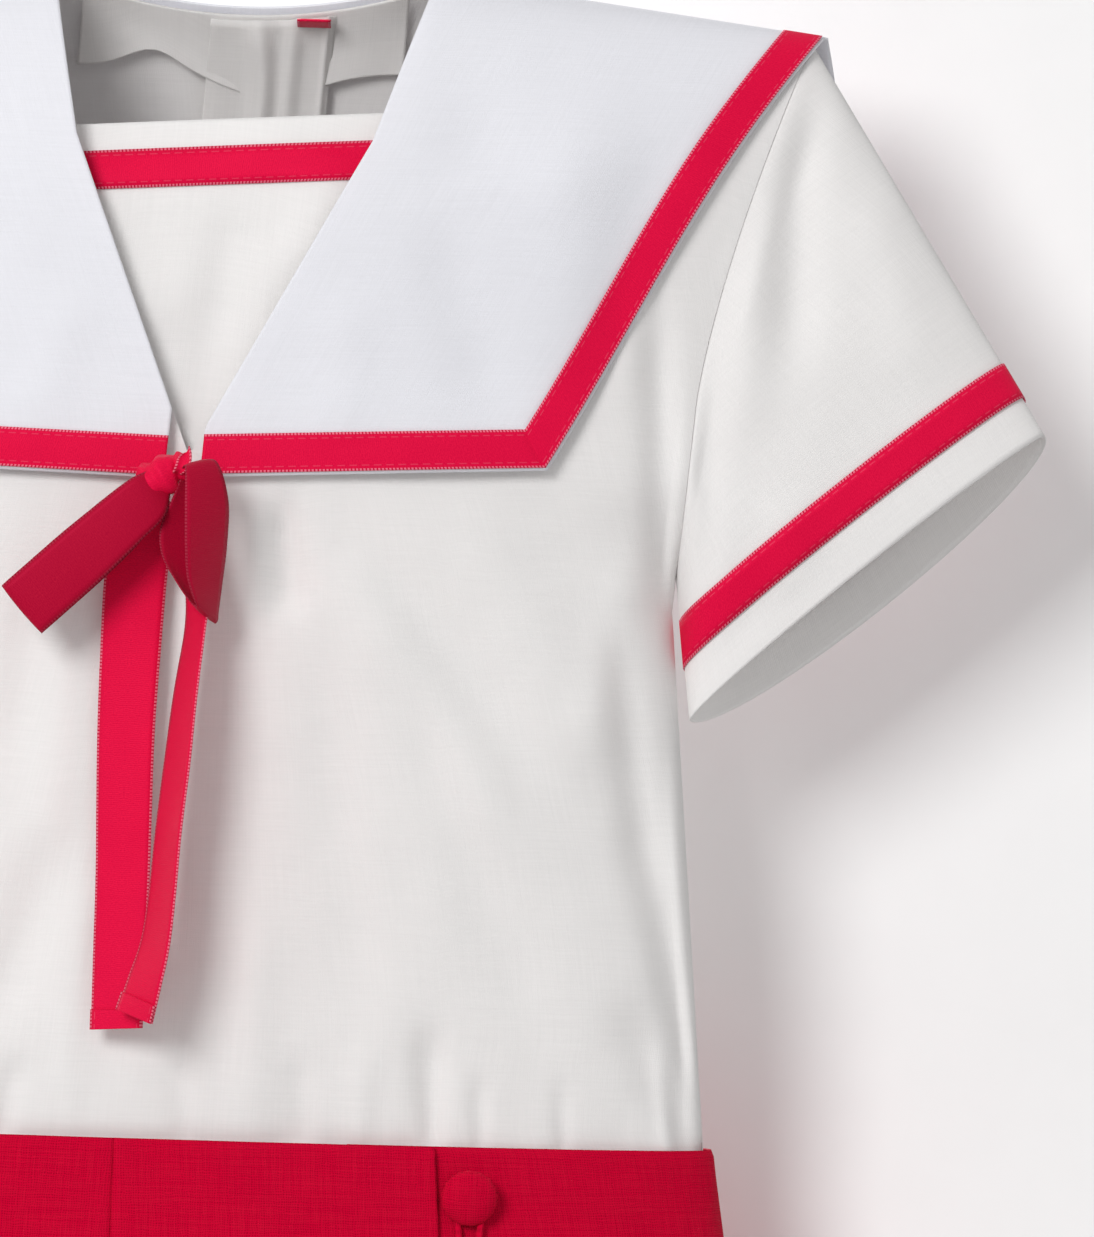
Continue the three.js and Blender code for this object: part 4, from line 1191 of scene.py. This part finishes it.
class UNIFORM_OT_sleeves(bpy.types.Operator):
    """Build the short sleeves, their hems and the satin bands above the hems."""

    bl_idname = "uniform.sleeves"
    bl_label = "Sleeves"

    def execute(self, context):
        thickness = settings().cotton_thickness
        turn = np.linspace(0, 2 * math.pi, 241)[:-1][None, :]
        for word, sign in SIDES:
            share = (np.linspace(0, 1, 90) ** 0.92)[:, None]
            points = on_sleeve(sign, turn + 0 * share, share + 0 * turn, 0)
            points = points if sign < 0 else points[:, ::-1]
            start, end = (tuple(placed(sign * x, 0, z)) for x, z in SLEEVE_BEND)
            bend = ("bodice", f"sleeve_{word}", start, end)
            cloth_sheet(f"sleeve_{word}_cloth", points, "cotton", [f"sleeve_{word}"],
                        thickness, bend, closed=True)
            rows = np.linspace(0, 1, 5)[:, None]
            flat = hem_share(sign, turn, SLEEVE_HEM + rows * TRIM_WIDTH)
            band = on_sleeve(sign, turn + 0 * flat, flat, TRIM_LIFT)
            ring = np.concatenate([band, band[:, :1]], 1).transpose(1, 0, 2)
            ribbon(f"sleeve_trim_{word}", ring, finish_of("trim"), [f"sleeve_ribbon_{word}"], bend,
                   TRIM_WIDTH, rests=[f"sleeve_{word}_cloth"], flip=sign < 0)
        return {"FINISHED"}


# ---- skirt ----
def skirt_panel(low_turn, high_turn, lift, cols, rows):
    """A skirt panel between two turns; 0 is the right side and a quarter turn the front. All panels
    share one wave, so that those underneath stay underneath."""
    turn = np.linspace(low_turn, high_turn, cols)[None, :]
    z = -(np.linspace(0, 1, rows)[:, None] ** 1.15) * SKIRT_LENGTH
    down = np.clip(-z / SKIRT_LENGTH, 0, 1)
    place = WAIST_HALF * np.cos(turn), 60 * np.sin(turn) + z * 0.5
    wave = 3.2 * down**1.2 * np.sin(turn * 9 + 1.9 + 0.8 * down) + 1.2 * down * bumps(*place, 42, 61)
    wave = wave + 0.22 * bumps(place[0], place[1] * 2, 14, 62)
    rounded = 0.5 * smooth(1.6, 0, -z)
    h = lift + wave - rounded
    x = (half_width(z) + h) * np.cos(turn)
    y = -(half_depth(z) + h) * np.sin(turn)
    return placed(x, y, z + 0 * turn)[:, ::-1]


def panel_turn(x, lift):
    return math.acos(x / (WAIST_HALF + lift))


class UNIFORM_OT_skirt(bpy.types.Operator):
    """Build the red linen skirt: front and back panels with folded edges, over two side panels."""

    bl_idname = "uniform.skirt"
    bl_label = "Skirt"

    def execute(self, context):
        edge, middle = panel_turn(PANEL_EDGE, PANEL_LIFT), panel_turn(0.12, PANEL_LIFT)
        under = panel_turn(PANEL_EDGE - UNDERLAP, SIDE_LIFT)
        half = math.pi
        panels = (
            ("skirt_front_right", edge, middle, PANEL_LIFT, "skirt_front", True),
            ("skirt_front_left", half - middle, half - edge, PANEL_LIFT, "skirt_front", True),
            ("skirt_back_right", -middle, -edge, PANEL_LIFT, "skirt_back", True),
            ("skirt_back_left", half + edge, half + middle, PANEL_LIFT, "skirt_back", True),
            ("skirt_side_right", -under, under, SIDE_LIFT, "bodice", False),
            ("skirt_side_left", half - under, half + under, SIDE_LIFT, "bodice", False),
        )
        for name, low, high, lift, body, edges in panels:
            points = skirt_panel(low, high, lift, 100 if edges else 260, 110)
            if edges:
                # The centre seam is a groove and the outer edge a soft fold.
                turn = np.linspace(high, low, points.shape[1])
                inner = np.abs(np.cos(turn)) * WAIST_HALF
                groove = 0.55 * np.exp(-((inner / 0.9) ** 2)) + 0.5 * smooth(1.4, 0, PANEL_EDGE - inner)
                points[:, :, 1] += (groove * MM * (1 if body == "skirt_front" else -1))[None, :]
            bend = body
            if body != "bodice":
                y = -FLARE_Y if body == "skirt_front" else FLARE_Y
                high_end, low_end = ((0, y, (-NECK_Z - drop) * MM) for drop in FLARE_BEND)
                bend = ("bodice", body, high_end, low_end)
            cloth_sheet(f"{name}_cloth", points, "linen", [name], settings().linen_thickness,
                        bend)
        return {"FINISHED"}


# ---- buttons ----
def through(stations, count):
    """Smooth rows of numbers through the given stations."""
    rows = np.array(stations, float)
    s = np.linspace(0, len(rows) - 1, count)
    i = np.clip(s.astype(int), 0, len(rows) - 2)
    f = (s - i)[:, None]
    a, b, c, d = (rows[np.clip(i + k, 0, len(rows) - 1)] for k in (-1, 0, 1, 2))
    return 0.5 * (2 * b + (c - a) * f + (2 * a - 5 * b + 4 * c - d) * f**2 + (3 * b - a - 3 * c + d) * f**3)


def spun(profile, around):
    """Rings of points round Z from a profile of (radius, height)."""
    turn = np.linspace(0, 2 * math.pi, around, endpoint=False)[None, :]
    r, h = (np.array(c)[:, None] for c in zip(*profile))
    return np.stack([r * np.cos(turn), r * np.sin(turn), h + 0 * turn], -1), turn


def seat(cad):
    """Middle of a CAD node's box."""
    low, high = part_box(cad)
    return (low + high) / 2


def turned(points, tilt, to_back):
    """Stands a button that was built facing +Z so that it faces out of the front or the back."""
    x, y, z = points[..., 0], points[..., 1], points[..., 2]
    side = 1 if to_back else -1
    c, s = math.cos(tilt), math.sin(tilt)
    out, up = z * c + y * s, y * c - z * s
    return np.stack([x * -side, side * out, up], -1)


class UNIFORM_OT_covered_buttons(bpy.types.Operator):
    """Build the linen-covered buttons on the skirt and the rouleau loops that hold them."""

    bl_idname = "uniform.covered_buttons"
    bl_label = "Covered buttons"

    def execute(self, context):
        for face in ("front", "back"):
            back = face == "back"
            for word, _ in SIDES:
                cad = f"{face}_button_{word}"
                low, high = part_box(cad)
                r = (high.x - low.x) / 2 / MM
                rise = np.linspace(0, 1, 26)
                dome = [(r * math.cos(a), 2.9 + 3.3 * math.sin(a) ** 0.9) for a in rise * math.pi / 2]
                under = [(0.01, 2.2), (r * 0.55, 2.1), (r * 0.86, 2.0), (r * 0.97, 2.4)]
                profile = [*under, *dome[:-1], (0.01, 6.2)]
                points, turn = spun(profile, 96)
                level = np.array([p[1] for p in profile])[:, None]
                # Cloth gathered over the rim: fine radial puckers that fade towards the dome.
                gathers = np.sin(turn * 17 + 1.3 * np.sin(turn * 3))
                pucker = 0.16 * np.exp(-(((level - 2.6) / 0.9) ** 2)) * gathers
                soft = 0.12 * bumps(points[..., 0] + 30, points[..., 1], 3.2, 71)
                points[..., :2] *= (1 + (pucker + soft * 0.4) / r)[..., None]
                points[..., 2] += soft
                uv = np.stack([points[..., 0], points[..., 1]], -1)
                uv = np.concatenate([uv, uv[:, :1]], 1) + 20
                shape = turned(points, BUTTON_TILT, back)
                middle = seat(cad)
                lo, hi = shape.reshape(-1, 3).min(0), shape.reshape(-1, 3).max(0)
                target = np.array(middle) / MM
                target[1] = (high.y if back else low.y) / MM
                now = (lo + hi) / 2
                now[1] = hi[1] if back else lo[1]
                cover = (shape + target - now) * MM
                obj = solid_of(f"{cad}_linen", cover, uv, finish_of("linen"), [cad])
                self.loop(face, word, back)
        return {"FINISHED"}

    def loop(self, face, word, back):
        """A rouleau bent round the shank, both ends running down to the cloth."""
        cad = f"{face}_loop_{word}"
        low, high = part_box(cad)
        radius = ROULEAU_RADIUS
        width = (high.x - low.x) / MM / 2 - radius
        mid = seat(cad)
        top = high.z / MM - radius
        bottom = low.z / MM
        path = [(-1.8, bottom), (-2.2, bottom + 9)]
        path += [(width * math.cos(a), top - width + width * math.sin(a)) for a in np.linspace(math.pi, 0, 9)]
        path += [(2.6, bottom + 9), (2.2, bottom)]
        y0 = (low.y if not back else high.y) / MM + (radius if not back else -radius)
        y1 = (high.y if not back else low.y) / MM + (-radius if not back else radius)
        line = np.array([[p[0], 0, p[1]] for p in path])
        curve = through(line, 150)
        share = (top - curve[:, 2]) / (top - bottom)
        curve[:, 0] += mid.x / MM
        curve[:, 1] = lerp(y1, y0, share)
        way = np.gradient(curve, axis=0)
        way = way / np.linalg.norm(way, axis=1)[:, None]
        out = np.cross(way, np.array([0, 1.0, 0]))
        out = out / np.linalg.norm(out, axis=1)[:, None]
        other = np.cross(way, out)
        turn = np.linspace(0, 2 * math.pi, 20, endpoint=False)
        along = np.concatenate([[0], np.cumsum(np.linalg.norm(np.diff(curve, axis=0), axis=1))])[:, None]
        thick = radius * (1 + 0.07 * np.sin(turn[None, :] * 2 + along * 2.2) + 0.05 * np.sin(along * 3.1))
        ring = curve[:, None] + thick[..., None] * (np.cos(turn)[None, :, None] * out[:, None]
                                                    + np.sin(turn)[None, :, None] * other[:, None])
        ends = [np.repeat(curve[k][None, None], 20, 1) for k in (0, -1)]
        ring = np.concatenate([ends[0], ring, ends[1]], 0)
        uv = np.stack([np.tile(np.linspace(0, 5.6, 21), (len(ring), 1)),
                       np.tile(np.linspace(0, 50, len(ring))[:, None], (1, 21))], -1)
        solid_of(f"{cad}_rouleau", ring * MM, uv, finish_of("linen"), [cad])


def tube_faces(base, rings, sides):
    """Faces of a closed tube whose rings of vertices start at base: its walls and then its two ends."""
    faces = []
    for i in range(rings - 1):
        low, high = base + i * sides, base + (i + 1) * sides
        faces += [[low + j, low + (j + 1) % sides, high + (j + 1) % sides, high + j] for j in range(sides)]
    last = base + (rings - 1) * sides
    return faces + [list(range(base + sides - 1, base - 1, -1)), list(range(last, last + sides))]


def button_holes(mesh_object, cutter_points):
    """Cuts the holes through a button and returns the final mesh."""
    cut = bpy.data.objects.new("hole_cutter", bpy.data.meshes.new("hole_cutter"))
    verts, faces = [], []
    for cx, cy in cutter_points:
        base = len(verts)
        for h in (-1.0, 4.0):
            turns = np.linspace(0, 2 * math.pi, HOLE_SIDES, endpoint=False)
            ring = [(cx + HOLE_RADIUS * math.cos(a), cy + HOLE_RADIUS * math.sin(a), h) for a in turns]
            verts += [tuple(c * MM for c in corner) for corner in ring]
        faces += tube_faces(base, 2, HOLE_SIDES)
    cut.data.from_pydata(verts, [], faces)
    bpy.context.scene.collection.objects.link(cut)
    boolean = mesh_object.modifiers.new("Holes", "BOOLEAN")
    boolean.object = cut
    boolean.operation = "DIFFERENCE"
    boolean.solver = "EXACT"
    graph = bpy.context.evaluated_depsgraph_get()
    final = bpy.data.meshes.new_from_object(mesh_object.evaluated_get(graph))
    mesh_object.modifiers.clear()
    bpy.data.objects.remove(cut)
    bpy.data.objects.remove(mesh_object)
    return final


class UNIFORM_OT_shirt_buttons(bpy.types.Operator):
    """Sew the four-hole shirt buttons down the back."""

    bl_idname = "uniform.shirt_buttons"
    bl_label = "Shirt buttons"

    def execute(self, context):
        low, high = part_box("back_button_1")
        r = (high.x - low.x) / 2 / MM
        # The foot, the rounded rim and the dished middle with its holes.
        profile = [(0.01, 0), (r - 1.2, 0), (r - 0.4, 0.25), (r, 0.9), (r, 1.6), (r - 0.35, 2.2),
                   (r - 0.9, 2.4), (r - 1.5, 2.2), (r - 1.9, 1.75), (r - 2.4, 1.6), (0.01, 1.6)]
        points, _ = spun(profile, 64)
        uv = np.zeros((len(profile), 65, 2))
        blank = mesh_of("button_blank", points * MM, uv, closed=True)
        spots = [(a, b) for a in (-HOLE_STEP, HOLE_STEP) for b in (-HOLE_STEP, HOLE_STEP)]
        final = button_holes(blank, spots)
        final.materials.clear()
        final.materials.append(finish_of("button"))
        for k in range(1, 5):
            cad = f"back_button_{k}"
            low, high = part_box(cad)
            obj = bpy.data.objects.new(f"{cad}_shell", final.copy())
            bpy.context.scene.collection.objects.link(obj)
            obj.rotation_euler = (-math.pi / 2, BUTTON_TWIST * k, 0)
            mid = seat(cad)
            obj.location = (mid.x, low.y, mid.z)
            bpy.context.view_layer.update()
            obj.data.transform(obj.matrix_world)
            obj.rotation_euler = (0, 0, 0)
            obj.location = (0, 0, 0)
            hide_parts(cad)
            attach(obj, "bodice")
            self.stitches(k, mid, low.y, BUTTON_TWIST * k)
        return {"FINISHED"}

    def stitches(self, k, mid, y, twist):
        """Two parallel bars of thread between the holes."""
        verts, faces = [], []
        s = np.linspace(0, 1, 14)[:, None]
        a = np.linspace(0, 2 * math.pi, 8, endpoint=False)[None, :]
        x = lerp(-HOLE_STEP, HOLE_STEP, s) + 0 * a
        arch = 1.75 + 0.5 * np.sin(math.pi * s) - 1.4 * (np.abs(s - 0.5) > 0.45)
        for bar in (-HOLE_STEP, HOLE_STEP):
            for lane in (-STRAND_RADIUS, STRAND_RADIUS):
                y_strand = bar + lane + STRAND_RADIUS * np.cos(a) + 0 * s
                strand = np.stack([x, y_strand, arch + STRAND_RADIUS * np.sin(a)], -1)
                faces += tube_faces(len(verts), strand.shape[0], strand.shape[1])
                verts += strand.reshape(-1, 3).tolist()
        p = np.array(verts)
        c, s = math.cos(twist), math.sin(twist)
        x, z = p[:, 0] * c - p[:, 1] * s, p[:, 0] * s + p[:, 1] * c
        world = np.stack([x * MM + mid.x, p[:, 2] * MM + y, z * MM + mid.z], -1)
        mesh = bpy.data.meshes.new(f"back_button_{k}_thread")
        mesh.from_pydata(world.tolist(), [], faces)
        mesh.polygons.foreach_set("use_smooth", [True] * len(mesh.polygons))
        obj = bpy.data.objects.new(f"back_button_{k}_thread", mesh)
        bpy.context.scene.collection.objects.link(obj)
        mesh.materials.append(finish_of("thread"))
        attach(obj, "bodice")


# ---- bow ----
def strip_through(middle, stations, count, columns=9, cup=0.0):
    """Ribbon through stations of (x, y, z, half x, half y, half z), in mm from the knot's middle: a point
    of its middle line, and the step from there to its edge. cup hollows it across."""
    rows = through(stations, count)
    across = np.linspace(-1, 1, columns)[None, :, None]
    centre, half = rows[:, None, :3], rows[:, None, 3:]
    way = np.gradient(rows[:, :3], axis=0)
    normal = np.cross(way, rows[:, 3:])
    normal = normal / np.maximum(np.linalg.norm(normal, axis=1), 1e-6)[:, None]
    bowed = cup * (1 - across**2) * normal[:, None]
    return (centre + half * across + bowed) * MM + np.array(middle)


class UNIFORM_OT_bow(bpy.types.Operator):
    """Tie the ribbon bow: its knot, two loops and two tails."""

    bl_idname = "uniform.bow"
    bl_label = "Bow"

    def execute(self, context):
        middle = seat("bow_knot") + Vector((1.7, 0, -0.6)) * MM
        self.knot(middle)
        # The left loop lies flat and slants down; it leaves the knot in front and comes back behind.
        left = (
            (-1.8, -2.4, 0.4, 2.8, 0.3, -3.0), (-4.6, -4.4, -3.5, 4.3, 0.3, -4.7),
            (-10.5, -5.0, -9.0, 4.6, 0, -5.3),
            (-18.8, -4.8, -16.9, 4.8, 0, -5.8), (-27, -4.6, -24.6, 5.1, 0, -5.8),
            (-34.0, -4.1, -31.2, 5.2, 0, -5.8),
            (-35.1, -2.9, -32.3, 5.2, 0, -5.8), (-34.2, -1.6, -31.4, 5.2, 0, -5.8),
            (-28, 0.4, -25.4, 5.2, 0, -5.9),
            (-19, 1.6, -16.9, 5.0, 0, -5.9), (-10, 1.4, -8.4, 4.4, 0, -5.2), (-3.0, 1.0, -1.6, 2.4, 0, -3.0),
        )
        # The right loop hangs: a bright front layer, a turn at its tip, and a shaded layer behind it.
        right = (
            (5.6, -3.2, 4.8, 1.8, 1.2, 0.8), (8.6, -5.8, 5.2, 3.8, 2.6, 0.9),
            (10.4, -7.6, -3.6, 5.2, 4.4, 0.2),
            (10.6, -8.2, -14.5, 5.0, 5.4, -0.2), (10.5, -7.6, -23.5, 4.2, 5.2, -1.0),
            (11.0, -6.4, -29.6, 3.0, 4.8, -1.6),
            (11.2, -4.6, -31.8, 2.6, 4.6, -1.8), (9.8, -2.6, -31.4, 3.0, 3.8, -2.6),
            (7.0, -0.8, -27.2, 3.8, 2.6, -3.2),
            (4.4, -0.2, -19.5, 5.0, 2.0, -2.0), (3.6, -0.6, -12.0, 4.8, 1.6, -1.0),
            (4.4, -1.6, -4.0, 3.0, 1.4, 0),
            (5.2, -2.0, 1.5, 1.6, 1.0, 0),
        )
        # Both loops are drawn in the ribbon darkened as painted shade.
        for word, stations, cad in (("left", left, "bow_loop_left"), ("right", right, "bow_loop_right")):
            points = strip_through(middle, stations, 150, 9, 0.35)
            ribbon(f"bow_loop_{word}_ribbon", points, finish_of("bow_painted_shade"), [cad], cad, BOW_WIDTH,
                   rests=["bow_knot_ribbon"])
        # Tails: the left hangs flat and narrows as it turns a little, the right hangs edge-on in front.
        tail_left = (
            (-3.6, 3.0, -4.6, 4.4, 0.0, 0.6), (-5.2, 5.4, -9.0, 6.6, 0.2, 0.4), (-6.6, 7.8, -16, 7.8, 0.0, 0),
            (-7.6, 9.2, -26, 7.9, 0.0, 0), (-8.3, 9.8, -45, 7.6, -1.2, 0), (-8.7, 9.9, -62, 7.3, -1.7, 0),
            (-8.6, 9.8, -80, 7.1, -2.0, 0), (-8.4, 9.8, -98, 6.9, -2.2, 0), (-8.5, 9.7, -116, 6.8, -2.3, 0),
            (-8.6, 9.6, -128, 6.7, -2.4, 0), (-8.7, 9.4, -137.2, 6.6, -2.4, 0.5),
        )
        tail_right = (
            (4.6, 2.0, -5.0, 2.6, -1.2, 0), (7.2, 4.4, -14, 3.0, -2.0, 0), (8.5, 4.4, -26, 3.2, -3.2, 0),
            (8.2, 1.2, -36, 2.8, -5.8, 0), (6.4, -1.0, -52, 3.2, -7.1, 0), (4.8, -1.4, -70, 3.5, -7.0, 0),
            (3.2, -1.5, -87, 3.5, -7.0, 0), (2.2, -1.6, -102, 3.6, -6.9, 0),
            (0.8, -1.6, -115, 3.8, -6.4, -0.6),
            (-1.6, -1.2, -125, 4.2, -5.2, -1.4), (-3.8, 0, -133.5, 4.6, -3.8, -1.6),
        )
        for word, stations in (("left", tail_left), ("right", tail_right)):
            points = strip_through(middle, stations, 220, 9, 0.25)
            cad = f"bow_tail_{word}"
            ribbon(f"{cad}_ribbon", points, finish_of("bow"), [cad], cad, BOW_WIDTH,
                   rests=["bow_knot_ribbon"])
            self.tail_hem(points, cad)
        return {"FINISHED"}

    def knot(self, middle):
        """The knot: a pleated wrap lying across the slanting ribbon, with a small twist on top."""
        axis = np.array([0.84, 0.0, 0.54])
        up = np.array([-0.54, 0.0, 0.84])
        out = np.array([0.0, -1.0, 0.0])
        t = np.linspace(-1, 1, 48)[:, None]
        turn = np.linspace(0, 2 * math.pi, 73)[:-1][None, :]
        swell = np.clip(1 - np.abs(t) ** 3.2, 0, None) ** 0.45
        tall = (5.3 - 0.5 * t) * swell
        deep = (4.6 + 0.3 * t) * swell
        pleat = 0.42 * np.sin(t * 9 + 1.2 * np.sin(turn)) + 0.4 * bumps(t * 6, np.sin(turn) * 4, 1.7, 81)
        pleat = pleat * swell
        # A deep crease splits the wrap from the twist at its upper end.
        crease = -1.1 * np.exp(-(((t - 0.5 - 0.16 * np.cos(turn)) / 0.11) ** 2))
        r = 1 + (pleat + crease) / 4.6
        centre = axis * (t[..., None] * 7.4) + np.array([-0.6, 0, 2.2])
        points = centre + up * (tall * r * np.cos(turn))[..., None]
        points = points + out * (deep * r * np.sin(turn))[..., None]
        around = np.tile(np.linspace(0, 28, 73)[None, :], (48, 1))
        near = np.tile((7.6 - np.abs(t) * 7.4) + 0.12, (1, 73))
        points = points * MM + np.array(middle)
        uv = np.stack([near, around], -1)
        obj = solid_of("bow_knot_ribbon", points, uv, finish_of("bow"), ["bow_knot"])
        # The twist: a narrow fold of ribbon that rises over the crease.
        twist = (
            (2.4, -3.4, 2.4, 1.2, -0.4, 0.2), (3.4, -5.2, 3.6, 1.7, -0.6, 0.1),
            (4.2, -5.4, 5.6, 1.9, -0.2, 0.4),
            (4.4, -4.2, 7.6, 1.6, 0.6, 0.8), (4.6, -2.6, 8.9, 0.7, 0.9, 1.0), (4.8, -1.0, 7.6, 0.8, 1.0, 0.6),
        )
        points = strip_through(middle, twist, 60, 9, 0.7)
        ribbon("bow_twist_ribbon", points, finish_of("bow"), [], "bodice", 5.0)
        # The stitched stem behind the knot.
        low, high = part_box("bow_anchor")
        mid = (low + high) / 2
        s = np.linspace(0, 1, 20)[:, None]
        waist = 1 - 0.25 * np.sin(math.pi * s) + 0.05 * np.sin(turn * 6)
        radius = (high.x - low.x) / 2 * waist
        stem = np.stack([mid.x + radius * np.cos(turn), lerp(high.y, low.y, s) + 0 * turn,
                         mid.z + radius * np.sin(turn)], -1)
        uv = np.tile(np.stack([np.full(73, 3.0), np.linspace(0, 16, 73)], -1)[None], (20, 1, 1))
        solid_of("bow_stem_ribbon", stem, uv, finish_of("bow"), ["bow_anchor"])

    def tail_hem(self, points, cad):
        """The folded and stitched end of a tail."""
        last = points[-14:].copy()
        way = points[-1] - points[-10]
        side = points[-1, -1] - points[-1, 0]
        out = np.cross(way.mean(0), side)
        out = out / np.linalg.norm(out)
        if out[1] > 0:
            out = -out
        last = last + out * HEM_STANDS * MM
        ribbon(f"{cad}_hem", last, finish_of("trim"), [], cad, BOW_WIDTH)


class UNIFORM_OT_hang_loop(bpy.types.Operator):
    """Build the ribbon tab in the back neck seam."""

    bl_idname = "uniform.hang_loop"
    bl_label = "Hang loop"

    def execute(self, context):
        low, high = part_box("hang_loop")
        s = np.linspace(0, 1, 50)[:, None]
        u = np.linspace(0, 1, 7)[None, :]
        y = lerp(high.y, low.y, np.sin(math.pi * s) ** 0.7)
        z = lerp(high.z + 0.0006, low.z, s) + 0.0004 * np.sin(math.pi * s) + 0 * u
        x = lerp(low.x, high.x, u) + 0 * s
        points = np.stack([x, y + 0 * u, z], -1)
        ribbon("hang_loop_ribbon", points, finish_of("bow"), ["hang_loop"], "hang_loop", HANG_LOOP_WIDTH,
               rests=["back_neck_facing_cloth"])
        return {"FINISHED"}


# ---- stage ----
VIEW_CENTRE = (81.9, -161.1)       # middle of the view at the garment's plane
VIEW_HEIGHT = 316.7
VIEW_ROLL = -0.0314                # the garment hangs a little askew in the view
CAMERA_FAR = 2400.0
SENSOR = 36                        # mm
WALL_GAP = 0.012                   # metres from the garment's back to the wall
WALL_TOP = 2.2
FLOOR_DROP = 0.05                  # and from its lowest point to the floor
FLOOR_NEAR = -3.4
SWEEP_BEND = 0.25                  # radius of the turn from wall to floor
SWEEP_HALF = 3


class UNIFORM_OT_stage(bpy.types.Operator):
    """Set up the pale wall and floor, the soft studio lights and the camera."""

    bl_idname = "uniform.stage"
    bl_label = "Stage"

    def execute(self, context):
        scene = context.scene
        wall_y = CAD_BOX[1].y + WALL_GAP
        floor_z = CAD_BOX[0].z - FLOOR_DROP
        arc = np.linspace(0, math.pi / 2, 16)
        bend = SWEEP_BEND
        profile = [(wall_y, WALL_TOP)]
        profile += [(wall_y - bend + bend * math.cos(a), floor_z + bend - bend * math.sin(a)) for a in arc]
        profile += [(FLOOR_NEAR, floor_z)]
        x = np.linspace(-SWEEP_HALF, SWEEP_HALF, 4)
        points = np.array([[(a, y, z) for a in x] for y, z in profile])[::-1]
        obj = mesh_of("studio_sweep", points, np.zeros((*points.shape[:2], 2)))
        obj.data.materials.append(finish_of("paper"))

        def lamp(name, place, aim, size, power):
            data = bpy.data.lights.new(name, "AREA")
            data.shape = "DISK"
            data.size = size
            data.energy = power
            light = bpy.data.objects.new(name, data)
            light.location = place
            light.rotation_euler = (Vector(aim) - Vector(place)).to_track_quat("-Z", "Y").to_euler()
            scene.collection.objects.link(light)

        centre = (CAD_BOX[0] + CAD_BOX[1]) / 2
        lamp("key", (-0.95, -2.15, 0.7), centre, 0.95, 38)
        lamp("back fill", (-0.7, 2.0, 0.9), centre, 1.2, 44)
        world = bpy.data.worlds.new("Studio air")
        world.use_nodes = True
        tree = world.node_tree
        tree.nodes.clear()
        air = node(tree, "ShaderNodeBackground", {"Color": (1, 1, 1, 1), "Strength": 0.56})
        node(tree, "ShaderNodeOutputWorld", {"Surface": air.outputs[0]})
        scene.world = world
        scene.view_settings.view_transform = "Standard"

        camera = bpy.data.objects.new("camera", bpy.data.cameras.new("camera"))
        camera.data.sensor_width = SENSOR
        camera.data.lens = SENSOR * CAMERA_FAR / VIEW_HEIGHT
        camera.location = (VIEW_CENTRE[0] * MM, -CAMERA_FAR * MM, VIEW_CENTRE[1] * MM)
        camera.rotation_euler = (math.pi / 2, VIEW_ROLL, 0)
        scene.collection.objects.link(camera)
        scene.camera = camera
        return {"FINISHED"}


class UNIFORM_PT_panel(bpy.types.Panel):
    """The uniform's settings and its pieces, in the sidebar."""

    bl_label = "Cheer uniform"
    bl_idname = "UNIFORM_PT_panel"
    bl_space_type = "VIEW_3D"
    bl_region_type = "UI"
    bl_category = "Uniform"

    def draw(self, context):
        for name in UniformSettings.__annotations__:
            self.layout.prop(context.scene.uniform_settings, name)
        for operator in OPERATORS:
            self.layout.operator(operator.bl_idname)


OPERATORS = (
    UNIFORM_OT_bodice, UNIFORM_OT_facings, UNIFORM_OT_dickey, UNIFORM_OT_collar, UNIFORM_OT_collar_trim,
    UNIFORM_OT_sleeves, UNIFORM_OT_skirt, UNIFORM_OT_covered_buttons, UNIFORM_OT_shirt_buttons,
    UNIFORM_OT_bow, UNIFORM_OT_hang_loop, UNIFORM_OT_stage,
)
CLASSES = (UniformSettings, *OPERATORS, UNIFORM_PT_panel)


def register():
    for cls in CLASSES:
        bpy.utils.register_class(cls)
    bpy.types.Scene.uniform_settings = bpy.props.PointerProperty(type=UniformSettings)


def unregister():
    del bpy.types.Scene.uniform_settings
    for cls in reversed(CLASSES):
        bpy.utils.unregister_class(cls)


def main():
    register()
    for operator in OPERATORS:
        getattr(bpy.ops.uniform, operator.bl_idname.split(".")[1])()
    bpy.context.view_layer.update()


if __name__ == "__main__":
    main()
